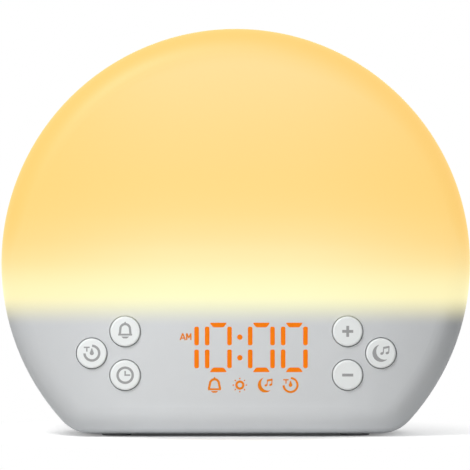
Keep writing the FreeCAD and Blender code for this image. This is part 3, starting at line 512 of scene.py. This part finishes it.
plunger_grey = plain_finish("plunger_grey", (0.30, 0.30, 0.31), 0.4, 3.0, 0.06)
speaker_paper = plain_finish("speaker_paper", (0.045, 0.042, 0.04), 0.85, 2.0, 0.3, 0.5, 0.05)
ferrite = plain_finish("ferrite", (0.06, 0.058, 0.057), 0.7, 4.0, 0.2, 0.3, 0.03)
foam_black = plain_finish("foam_black", (0.03, 0.03, 0.03), 0.95, 1.5, 0.3, 0.5, 0.15)
inlet_black = plain_finish("inlet_black", (0.03, 0.03, 0.032), 0.38, 4.0, 0.12)
foot_rubber = plain_finish("foot_rubber", (0.26, 0.26, 0.265), 0.8, 2.5, 0.12, 0.3, 0.03)
print("materials so far:", len(bpy.data.materials))

# %% [markdown]
# ## Metals
# Rolled sheet, plated screws and contacts are bare metal. Rolling leaves fine lines in one
# direction, which a noise squeezed along one axis shows well. A Mapping node does the squeezing.

# %% Make the metals
LINE_DEPTH = 0.003


def metal_finish(name, colour, roughness, line_mm=0.15, line_length_mm=4.0):
    """Bare metal with fine lines along X and a little tarnish."""
    finish = Finish(name)
    coordinates = finish.node("TexCoord").outputs["Object"]
    squeezed = finish.node("Mapping", Vector=coordinates,
                           Scale=(1000.0 / line_length_mm, 1000.0 / line_mm, 1000.0 / line_mm))
    lines = Sum(finish.tree, finish.node("TexNoise", Vector=squeezed.outputs["Vector"],
                                         Scale=1.0, Detail=2.0).outputs["Fac"])
    tarnish = finish.noise(3.0)
    finish.wire(Base_Color=finish.between(tarnish, shade(colour, 0.92), shade(colour, 1.06)),
                Metallic=1.0, Roughness=roughness * (0.8 + 0.4 * lines))
    finish.bump(lines, LINE_DEPTH, 0.6)
    return finish.material


stamped_steel = metal_finish("stamped_steel", (0.60, 0.60, 0.59), 0.38)
screw_steel = metal_finish("screw_steel", (0.62, 0.62, 0.64), 0.28, 0.1, 1.0)
contact_metal = metal_finish("contact_metal", (0.80, 0.74, 0.60), 0.30)
cell_steel = metal_finish("cell_steel", (0.66, 0.66, 0.66), 0.26, 0.12, 6.0)
print("metals:", stamped_steel.name, screw_steel.name, contact_metal.name, cell_steel.name)

# %% [markdown]
# ## Circuit boards
# A board is glass cloth in resin under a coloured lacquer. The cloth shows as a faint square
# weave, so two waves at right angles make the bump, and a coarse noise darkens the lacquer over
# its copper.

# %% Lacquer the boards
WEAVE_TURN = 9.0


def board_finish(name, lacquer, over_copper):
    """Lacquer over copper and glass cloth, woven from waves of WEAVE_TURN radians a millimetre."""
    finish = Finish(name)
    x, y, z = finish.place()
    weave = (x * WEAVE_TURN).wave() * (z * WEAVE_TURN).wave()
    copper = finish.rise(finish.noise(5.0, 0.0), 0.48, 0.52)
    finish.wire(Base_Color=finish.between(copper, lacquer, over_copper),
                Roughness=0.32 + 0.05 * finish.noise(1.0), Specular_IOR_Level=0.5)
    finish.bump(weave * 0.5 + 0.5, 0.01, 0.5)
    return finish.material


board_green = board_finish("board_green", (0.012, 0.10, 0.035), (0.02, 0.15, 0.05))
board_white = board_finish("board_white", (0.80, 0.80, 0.78), (0.86, 0.86, 0.84))
print("boards:", board_green.name, board_white.name)

# %% [markdown]
# ## Who wears what
# Each solid has one finish. The caps are dealt with in the next step, because their edges are
# softer than the drawn chamfer and get a mesh of their own.

# %% Dress the solids
DRESS = {
    cover_plastic: ["rear_shell", "battery_door"],
    reflector_white: ["reflector", "light_shelf"],
    board_green: ["main_board", "inlet_board"],
    board_white: ["led_board"],
    display_black: ["display_housing"],
    light_guide: ["display_segments"],
    lamp_lens: ["leds"],
    chip_resin: ["controller_chip", "amplifier_chip"],
    capacitor_sleeve: ["filter_capacitors"],
    header_nylon: ["wire_headers"],
    lead_sleeve: ["speaker_lead", "led_lead", "power_lead"],
    switch_black: [f"{button}_switch" for button in BUTTONS],
    plunger_grey: [f"{button}_plunger" for button in BUTTONS],
    cap_plastic: [f"{button}_cap" for button in BUTTONS],
    stamped_steel: ["speaker_basket"],
    speaker_paper: ["speaker_cone"],
    ferrite: ["speaker_magnet"],
    foam_black: ["speaker_gasket"],
    inlet_black: ["inlet_body"],
    contact_metal: ["inlet_pin", "cell_contacts"],
    cell_steel: ["coin_cell"],
    screw_steel: ["housing_screws", "board_screws", "led_board_screws", "reflector_screws",
                  "speaker_screws", "inlet_board_screws", "battery_door_screw"],
    foot_rubber: ["foot_front_left", "foot_front_right", "foot_rear_left", "foot_rear_right"],
}
dressed = {"front_shell"}
for material, names in DRESS.items():
    wear(material, *[nodes[name] for name in names])
    dressed.update(names)
print("solids still bare:", sorted(set(nodes) - dressed))

# %% [markdown]
# ## Button caps
# A cap is a little mushroom: a round face with a soft edge, a flange that keeps it from falling
# out of its collar, and a stem that presses the switch. It is turned like a lathe part. A half
# profile goes round the button's axis with `spin`, and the soft edge is a bevel on the profile's
# corner before it turns. The face is sunk by the thickness of the print, so that the print stays
# within the clock's depth.

# %% Turn the caps
CAP_RADIUS = 6.0
CAP_EDGE = 0.85
CAP_FLAT = 5.0
EDGE_SEGMENTS, TURN_STEPS = 6, 72
SHARP_ANGLE = math.radians(35.0)
FLANGE_RADIUS = 6.9
FLANGE_FRONT, FLANGE_BACK = -28.5, -27.3
STEM_RADIUS, STEM_END = 2.5, -25.8
CAP_FACE = CAP_Y + PRINT_THICKNESS


def keep(mesh, name, material, body):
    """Turn a bmesh into a piece that rides on a body and takes a finish."""
    data = bpy.data.meshes.new(name)
    mesh.to_mesh(data)
    mesh.free()
    piece = bpy.data.objects.new(name, data)
    bpy.context.scene.collection.objects.link(piece)
    wear(material, piece)
    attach(piece, body)
    return piece


def smooth_but_for_corners(mesh):
    """Shade smoothly, and keep each corner sharper than the limit crisp."""
    for face in mesh.faces:
        face.smooth = True
    for edge in mesh.edges:
        edge.smooth = len(edge.link_faces) == 2 and edge.calc_face_angle() < SHARP_ANGLE


def turn_cap(button, x, z):
    """Spin the half profile of a cap about its button's axis."""
    mesh = bmesh.new()
    profile = [(0.0, CAP_FACE), (CAP_FLAT, CAP_FACE), (CAP_RADIUS, CAP_FACE),
               (CAP_RADIUS, FLANGE_FRONT),
               (FLANGE_RADIUS, FLANGE_FRONT), (FLANGE_RADIUS, FLANGE_BACK),
               (STEM_RADIUS, FLANGE_BACK), (STEM_RADIUS, STEM_END), (0.0, STEM_END)]
    points = [mesh.verts.new((across, along, 0.0)) for across, along in profile]
    for one, other in zip(points, points[1:]):
        mesh.edges.new((one, other))
    bmesh.ops.bevel(mesh, geom=[points[2]], offset=CAP_EDGE, segments=EDGE_SEGMENTS, profile=0.5,
                    affect="VERTICES", material=-1)
    bmesh.ops.spin(mesh, geom=mesh.verts[:] + mesh.edges[:], cent=(0, 0, 0), axis=(0, 1, 0),
                   angle=math.tau, steps=TURN_STEPS, use_merge=True)
    bmesh.ops.remove_doubles(mesh, verts=mesh.verts[:], dist=0.001)
    bmesh.ops.recalc_face_normals(mesh, faces=mesh.faces[:])
    smooth_but_for_corners(mesh)
    bmesh.ops.translate(mesh, vec=(x, 0.0, z), verts=mesh.verts[:])
    bmesh.ops.scale(mesh, vec=(MM, MM, MM), verts=mesh.verts[:])
    cap = keep(mesh, f"{button}_soft_cap", cap_plastic, f"{button}_button")
    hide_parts(f"{button}_cap")
    return cap


for button, (x, z) in BUTTONS.items():
    cap = turn_cap(button, x, z)
    print(cap.name, len(cap.data.polygons), "faces")

# %% [markdown]
# ## A pen for flat marks
# The symbols on the caps are printed, and the lit figures show through the face as if printed
# on it. `Marks` draws both in millimetres, with x to the right and z up. A straight stroke is an
# edge as wide as the pen, extruded along its way, and a curved one is the same edge spun about a
# centre. A shape that isn't a stroke starts as a polygon. In the end `solidify` gives every mark
# its thickness, and each mark lies two microns before the last, so that overlaps don't flicker.

# %% Make the pen


class Marks:
    """Flat marks on a plane that faces -Y, which get a thickness when they are finished."""

    STEP = 0.002

    def __init__(self):
        self.mesh = bmesh.new()
        self.marks = 0

    def lay(self, corners):
        """Set the mark's corners a hair before the last mark."""
        bmesh.ops.translate(self.mesh, vec=(0.0, -self.marks * self.STEP, 0.0), verts=corners)
        self.marks += 1

    def nib(self, one, other):
        """The edge between two points, which a stroke starts from."""
        ends = [self.mesh.verts.new((point[0], 0.0, point[1])) for point in (one, other)]
        return ends, self.mesh.edges.new(ends)

    def stroke(self, start, end, width, end_width=None):
        """A straight stroke, which may taper."""
        way = (Vector(end) - Vector(start)).normalized()
        across = Vector((-way.y, way.x)) * width / 2
        ends, edge = self.nib(Vector(start) + across, Vector(start) - across)
        grown = bmesh.ops.extrude_edge_only(self.mesh, edges=[edge])["geom"]
        far = [part for part in grown if isinstance(part, bmesh.types.BMVert)]
        move = Vector((end[0] - start[0], 0.0, end[1] - start[1]))
        bmesh.ops.translate(self.mesh, vec=move, verts=far)
        if end_width is not None:
            about = Matrix.Translation((-end[0], 0.0, -end[1]))
            bmesh.ops.scale(self.mesh, vec=(end_width / width,) * 3, space=about, verts=far)
        self.lay(ends + far)

    def curve(self, centre, radius, start, turn, width):
        """A curved stroke from the start angle, in degrees counter-clockwise from +X."""
        way = Vector((math.cos(math.radians(start)), math.sin(math.radians(start))))
        middle = Vector(centre)
        ends, edge = self.nib(middle + way * (radius - width / 2),
                              middle + way * (radius + width / 2))
        known = set(self.mesh.verts) - set(ends)
        bmesh.ops.spin(self.mesh, geom=ends + [edge], cent=(middle.x, 0.0, middle.y),
                       axis=(0.0, -1.0, 0.0), angle=math.radians(turn),
                       steps=max(6, round(abs(turn) / 6)), use_merge=abs(turn) == 360)
        self.lay([corner for corner in self.mesh.verts if corner not in known])

    def dot(self, centre, radius, squeeze=1.0, tilt=0.0):
        """A filled round or oval dot."""
        lie = (Matrix.Translation((centre[0], 0.0, centre[1]))
               @ Matrix.Rotation(math.radians(-tilt), 4, "Y")
               @ Matrix.Diagonal((1.0, 1.0, squeeze, 1.0))
               @ Matrix.Rotation(math.radians(90.0), 4, "X"))
        made = bmesh.ops.create_circle(self.mesh, cap_ends=True, segments=28, radius=radius,
                                       matrix=lie)
        self.lay(made["verts"])

    def patch(self, corners, cut):
        """A filled polygon with its corners cut off."""
        points = [self.mesh.verts.new((x, 0.0, z)) for x, z in corners]
        known = set(self.mesh.verts) - set(points)
        bmesh.ops.contextual_create(self.mesh, geom=points)
        bmesh.ops.bevel(self.mesh, geom=points, offset=cut, segments=2, profile=0.5,
                        affect="VERTICES", material=-1)
        self.lay([corner for corner in self.mesh.verts if corner not in known])

    def finish(self, name, place, front_y, scale, material, body, slot):
        """Scale the marks, set them on the plane and give them a thickness."""
        mesh = self.mesh
        bmesh.ops.scale(mesh, vec=(scale, 1.0, scale), verts=mesh.verts[:])
        bmesh.ops.translate(mesh, vec=(place[0], front_y, place[1]), verts=mesh.verts[:])
        bmesh.ops.recalc_face_normals(mesh, faces=mesh.faces[:])
        for face in mesh.faces:
            if face.normal.y > 0:
                face.normal_flip()
        bmesh.ops.solidify(mesh, geom=mesh.faces[:], thickness=PRINT_THICKNESS)
        bmesh.ops.recalc_face_normals(mesh, faces=mesh.faces[:])
        bmesh.ops.scale(mesh, vec=(MM, MM, MM), verts=mesh.verts[:])
        piece = keep(mesh, name, material, body)
        ys = [corner.co.y / MM for corner in piece.data.vertices]
        print(name, len(piece.data.polygons), "faces, y", round(min(ys), 3), "to",
              round(max(ys), 3))


print("the pen lays each mark", Marks.STEP, "mm before the last")

# %% [markdown]
# ## Drawing the signs
# The caps and the display share their signs: a bell for the alarm, a ring with a T and a drop
# for the timer, a crescent with two notes for falling asleep to music. Each is drawn once about
# its own middle and used at two sizes. All are common signs, and none is anyone's mark.

# %% Draw the signs


def draw_bell(marks, pen, flare):
    """A bell with a knob, walls that may flare, a rim and a clapper."""
    shoulder, foot = 1.90, 1.90 + flare
    marks.curve((0.0, 0.55), shoulder, 0.0, 180.0, pen)
    for side in (-1, 1):
        marks.stroke((side * shoulder, 0.60), (side * foot, -1.55), pen)
    marks.stroke((-2.75, -1.75), (2.75, -1.75), pen * 0.80)
    marks.stroke((0.0, 2.40), (0.0, 3.40), pen * 1.3, pen * 0.35)
    marks.patch([(-1.60, -2.50), (1.60, -2.50), (0.75, -3.25), (-0.75, -3.25)], 0.12)


def draw_timer(marks, pen, radius):
    """A ring open at the upper left, a T in the opening and a drop for the hand."""
    letter_pen = 0.56
    marks.curve((0.0, 0.0), radius, -178.0, 266.0, pen)
    marks.stroke((-3.20, 2.30), (-0.85, 2.30), letter_pen)
    marks.stroke((-2.00, 2.20), (-2.00, 0.60), letter_pen)
    marks.dot((0.0, 0.0), 0.82)
    marks.stroke((0.0, 0.25), (0.0, 1.95), 1.46, 0.22)


def draw_clock(marks, pen, radius):
    """A ring and two hands at three o'clock."""
    hand_pen = 0.60
    marks.curve((0.0, 0.0), radius, 0.0, 360.0, pen)
    marks.stroke((0.0, 1.70), (0.0, 0.0), hand_pen)
    marks.stroke((-0.30, 0.05), (2.00, 0.05), hand_pen)


def draw_crescent(marks):
    """A moon: one arc of the disc's rim and one of the disc that bites into it, then filled."""
    radius, chord, shift, lean = 3.45, 1.03, 1.59, 28.9
    mesh = marks.mesh
    known = set(mesh.verts)
    half = math.sqrt(radius ** 2 - chord ** 2)
    bite = math.hypot(half, shift - chord)
    outer_half = math.degrees(math.acos(chord / radius))
    inner_half = math.degrees(math.atan2(half, shift - chord))
    for centre, reach, opening in ((0.0, radius, outer_half), (shift, bite, 180.0 - inner_half)):
        start = mesh.verts.new((centre + reach * math.cos(math.radians(opening)), 0.0,
                                reach * math.sin(math.radians(opening))))
        bmesh.ops.spin(mesh, geom=[start], cent=(centre, 0.0, 0.0), axis=(0.0, -1.0, 0.0),
                       angle=math.radians(360.0 - 2 * opening), steps=36)
    fresh = [corner for corner in mesh.verts if corner not in known]
    bmesh.ops.remove_doubles(mesh, verts=fresh, dist=0.02)
    fresh = [corner for corner in mesh.verts if corner not in known]
    rim = list({edge for corner in fresh for edge in corner.link_edges})
    bmesh.ops.contextual_create(mesh, geom=rim)
    bmesh.ops.rotate(mesh, cent=(0.0, 0.0, 0.0), verts=fresh,
                     matrix=Matrix.Rotation(math.radians(-lean), 3, "Y"))
    marks.lay(fresh)


def draw_notes(marks, pen):
    """Two beamed notes in the hollow of the moon."""
    head_radius, head_squeeze, head_tilt = 0.70, 0.75, 20.0
    for place in ((0.35, -0.10), (2.50, 0.10)):
        marks.dot(place, head_radius, head_squeeze, head_tilt)
    marks.stroke((0.86, 0.00), (1.05, 2.35), pen * 0.8)
    marks.stroke((3.02, 0.20), (3.18, 2.75), pen * 0.8)
    marks.stroke((0.90, 2.10), (3.30, 2.55), pen * 1.5)


def draw_sun(marks, pen):
    """A ring with eight short rays."""
    rays, ray_start, ray_end, ray_pen = 8, 2.50, 3.15, 0.56
    marks.curve((0.0, 0.0), 1.50, 0.0, 360.0, pen)
    for ray in range(rays):
        angle = math.tau * ray / rays
        way = Vector((math.cos(angle), math.sin(angle)))
        marks.stroke(way * ray_start, way * ray_end, ray_pen)


print("signs: bell, timer, clock, moon with notes, sun")

# %% [markdown]
# ## Print on the caps
# The print on the caps is a soft grey ink. It is matt and slightly uneven, like pad printing,
# where a rubber pad presses the ink on. Each print is a piece of its own and rides on its
# button's body, so it goes in with the cap.

# %% Print the caps
PEN = 0.98
BELL_PEN, BELL_FLARE, BELL_LIFT = 0.92, 0.22, 0.50
TIMER_RADIUS, TIMER_SHIFT, TIMER_LIFT = 2.92, 0.05, 0.1
CLOCK_RADIUS = 3.00
NOTE_PEN = 0.55
ARM_LENGTH, ARM_PEN = 2.20, 1.12
PRINT_PLANE = CAP_Y + PRINT_THICKNESS / 2
ink = plain_finish("pad_print_grey", (0.300, 0.305, 0.310), 0.6, 1.2, 0.05, 0.2, 0.004)

for button, (x, z) in BUTTONS.items():
    marks = Marks()
    place = (x, z)
    if button == "alarm":
        draw_bell(marks, BELL_PEN, BELL_FLARE)
        place = (x, z + BELL_LIFT)
    elif button == "timer":
        draw_timer(marks, PEN, TIMER_RADIUS)
        place = (x + TIMER_SHIFT, z + TIMER_LIFT)
    elif button == "clock":
        draw_clock(marks, PEN, CLOCK_RADIUS)
    elif button == "sleep":
        draw_crescent(marks)
        draw_notes(marks, NOTE_PEN)
    else:
        marks.stroke((-ARM_LENGTH, 0.0), (ARM_LENGTH, 0.0), ARM_PEN)
        if button == "plus":
            for side in (1, -1):
                marks.stroke((0.0, side * ARM_PEN / 2), (0.0, side * ARM_LENGTH), ARM_PEN)
    marks.finish(f"{button}_print", place, PRINT_PLANE, 1.0, ink, f"{button}_button",
                 "button_white")

# %% [markdown]
# ## The lit figures
# The display hides behind the face. Its light guides end just behind a thinned patch of the
# shell, and only the lit ones show through. On the face they are thin pieces that give off their
# own light, which wavers a little, as light does in plastic.

# %% Mix the lit finishes
ORANGE = (0.930, 0.205, 0.003)
THIN_ORANGE = (0.78, 0.215, 0.010)
LIT_LEVEL = 0.74


def lit_finish(name, colour):
    """Plastic that glows in its own colour."""
    finish = Finish(name)
    wave = finish.noise(2.2, 1.0)
    finish.wire(Base_Color=finish.between(wave, shade(colour, 0.20), shade(colour, 0.26)),
                Emission_Color=finish.between(wave, shade(colour, 0.94), shade(colour, 1.04)),
                Emission_Strength=LIT_LEVEL, Roughness=0.42 + 0.05 * finish.noise(0.6),
                Specular_IOR_Level=0.05)
    return finish.material


lit_orange = lit_finish("lit_orange", ORANGE)
lit_thin = lit_finish("lit_orange_thin", THIN_ORANGE)
print("lit finishes:", lit_orange.name, lit_thin.name)

# %% [markdown]
# The figures are bars with cut corners, in the pattern that any such clock has: an upright at
# each side of the upper and the lower half, and a level bar at the top and the bottom. Every bar
# lies over its own light guide, but half a millimetre to its left, where the photograph shows it.

# %% Light the figures
DISPLAY_X = 1.36
DIGIT_Z = 35.9
DIGIT_HALF_HEIGHT = 9.85
DIGIT_HALF_PITCH = 4.45
BAR = 1.84
UPRIGHT_MIDDLE, UPRIGHT_HALF, UPRIGHT_CUT = 4.56, 3.72, 0.60
LEVEL_OUTSIDE, LEVEL_INSIDE, LEVEL_CUT = 3.50, 2.15, 0.52
COLON_HALF_GAP, COLON_RADIUS = 4.1, 1.08
LIT_PLANE = FACE_Y - PRINT_THICKNESS / 2
FIGURES = {"hours_tens": -17.22, "hours": -8.57, "minutes_tens": 8.57, "minutes": 21.70}


def upright(marks, x):
    """The upper and lower bar on one side of a figure."""
    left, right = x - BAR / 2, x + BAR / 2
    for half in (-1, 1):
        low = half * UPRIGHT_MIDDLE - UPRIGHT_HALF
        high = half * UPRIGHT_MIDDLE + UPRIGHT_HALF
        marks.patch([(left, low), (right, low), (right, high), (left, high)], UPRIGHT_CUT)


def level_bar(marks, x, end):
    """The top or bottom bar: long outside, short inside."""
    outer, inner = end * DIGIT_HALF_HEIGHT, end * (DIGIT_HALF_HEIGHT - BAR)
    marks.patch([(x - LEVEL_OUTSIDE, outer), (x + LEVEL_OUTSIDE, outer),
                 (x + LEVEL_INSIDE, inner), (x - LEVEL_INSIDE, inner)], LEVEL_CUT)


def zero(marks, x):
    """Four uprights, a top and a bottom."""
    for side in (-1, 1):
        upright(marks, x + side * DIGIT_HALF_PITCH)
    for end in (-1, 1):
        level_bar(marks, x, end)


def shine(marks, name, place, scale, material):
    """Finish lit marks on the face."""
    marks.finish(f"lit_{name}", place, LIT_PLANE, scale, material, "housing", "light_guide")


for figure, x in FIGURES.items():
    marks = Marks()
    if figure == "hours_tens":
        upright(marks, x)
    else:
        zero(marks, x)
    shine(marks, figure, (DISPLAY_X, DIGIT_Z), 1.0, lit_orange)

marks = Marks()
for half in (-1, 1):
    marks.dot((0.0, half * COLON_HALF_GAP), COLON_RADIUS)
shine(marks, "colon", (DISPLAY_X, DIGIT_Z), 1.0, lit_orange)

# %% [markdown]
# ## The morning mark and the row of signs
# Two small letters tell morning from afternoon, as on any twelve-hour clock, and four signs
# under the figures show what is switched on. Their strokes are thin, so they look a little
# dimmer than the figures.

# %% Light the small signs
SIGN_ROW_Z = 20.9
SIGN_PITCH = 10.1
ROW_SCALE = {"bell": 0.94, "sun": 0.92, "moon": 0.86, "timer": 0.91}
ROW_BELL_PEN, ROW_BELL_FLARE = 0.98, 0.50
ROW_SUN_PEN, ROW_NOTE_PEN = 1.00, 0.62
ROW_TIMER_PEN, ROW_TIMER_RADIUS = 0.94, 3.05
MORNING_PLACE = (-20.25, 40.2)
LETTER_HALF, LETTER_PEN = 1.35, 0.56
BAR_PEN, SLANT_PEN = 0.46, 0.50

marks = Marks()
for foot_x, top_x in ((-2.15, -1.15), (-0.15, -1.15)):
    marks.stroke((foot_x, -LETTER_HALF), (top_x, LETTER_HALF), LETTER_PEN)
marks.stroke((-1.75, -0.55), (-0.55, -0.55), BAR_PEN)
for leg_x in (0.45, 2.10):
    marks.stroke((leg_x, -LETTER_HALF), (leg_x, LETTER_HALF), LETTER_PEN)
for top_x in (0.55, 2.00):
    marks.stroke((top_x, 1.25), (1.275, -0.55), SLANT_PEN)
shine(marks, "morning_mark", MORNING_PLACE, 1.0, lit_thin)


def draw_row_sign(marks, sign):
    """The signs under the figures, with the pens that suit their smaller size."""
    if sign == "bell":
        draw_bell(marks, ROW_BELL_PEN, ROW_BELL_FLARE)
    elif sign == "sun":
        draw_sun(marks, ROW_SUN_PEN)
    elif sign == "moon":
        draw_crescent(marks)
        draw_notes(marks, ROW_NOTE_PEN)
    else:
        draw_timer(marks, ROW_TIMER_PEN, ROW_TIMER_RADIUS)


for column, (sign, scale) in enumerate(ROW_SCALE.items()):
    marks = Marks()
    draw_row_sign(marks, sign)
    shine(marks, sign, (DISPLAY_X + (column - 1) * SIGN_PITCH, SIGN_ROW_Z), scale, lit_thin)

# %% [markdown]
# ## The table
# The clock stands on a white sweep of paper that runs into the white behind it. The paper has to
# keep the clock's shadow, so near the clock it is real white paper with a little light of its
# own, and further off it turns into plain white, because no horizon shows in the photograph.

# %% Lay the paper
PAPER_HALF = 3.0

paper_mesh = bmesh.new()
bmesh.ops.create_grid(paper_mesh, x_segments=8, y_segments=8, size=PAPER_HALF)
paper_data = bpy.data.meshes.new("paper_sweep")
paper_mesh.to_mesh(paper_data)
paper_mesh.free()
paper = bpy.data.objects.new("paper_sweep", paper_data)
bpy.context.scene.collection.objects.link(paper)
print("paper is", 2 * PAPER_HALF, "m across")

# %% [markdown]
# The paper's own light lifts it to white where nothing shades it. Near the base it is held back,
# which paints a soft shadow round the base; under the base, where the slit between the feet is
# dark, hardly any of it is left. It comes in between two ellipses round the base, which are the
# two shares of SHADE_EDGE of the half sizes given in millimetres. Plain white takes over between
# the two radii of FADE_RADII. Both show only to rays that end in the picture, so neither of them
# lights the clock.

# %% Whiten the paper
PAPER_LIFT = 0.46
# Painted shadow: near the base the paper's own light is held back to a small share, inside the
# ellipses below.
LIFT_IN_PAINTED_SHADOW = 0.08
SHADE_HALF_WIDTH, SHADE_HALF_DEPTH = 66.0, 62.0
SHADE_EDGE = (0.66, 1.15)
FADE_RADII = (66.0, 124.0)

finish = Finish("white_paper")
x, y, z = finish.place()
shows = finish.shows()
fibre = finish.noise(1.5)
finish.wire(Base_Color=finish.between(fibre, (0.79, 0.79, 0.79), (0.81, 0.81, 0.81)),
            Roughness=0.9 + 0.05 * fibre, Specular_IOR_Level=0.1)
# Painted shadow: the paper's own light fades out in an ellipse round the base.
across, along = x / SHADE_HALF_WIDTH, y / SHADE_HALF_DEPTH
outside_painted_shadow = finish.rise((across * across + along * along).root(), *SHADE_EDGE)
own_share = outside_painted_shadow * (1 - LIFT_IN_PAINTED_SHADOW) + LIFT_IN_PAINTED_SHADOW
own_light = finish.node("Emission", Color=WHITE, Strength=PAPER_LIFT)
lifted = finish.node("AddShader", Shader=finish.shader.outputs[0],
                     Shader_001=own_light.outputs[0])
near = finish.node("MixShader", Fac=own_share * shows, Shader=finish.shader.outputs[0],
                   Shader_001=lifted.outputs[0])
far_share = finish.rise((x * x + y * y).root(), *FADE_RADII)
plain_white = finish.node("Emission", Color=WHITE, Strength=1.0)
sweep = finish.node("MixShader", Fac=far_share * shows, Shader=near.outputs[0],
                    Shader_001=plain_white.outputs[0])
finish.feed(finish.tree.nodes["Material Output"].inputs["Surface"], sweep.outputs[0])
wear(finish.material, paper)
paper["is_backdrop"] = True
print("paper is plain white from", FADE_RADII[1], "mm out")

# %% [markdown]
# ## Sizes
# The drawing decides the size, so the dressed clock must fill the same box. Both boxes are printed
# side by side.

# %% Measure and finish
dressed_box = [list(corner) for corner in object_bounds()]
for axis, (before, after) in enumerate(zip(cad_box[1], dressed_box[1])):
    print("XYZ"[axis], "high", round(before, 5), round(after, 5),
          "low", round(cad_box[0][axis], 5), round(dressed_box[0][axis], 5))
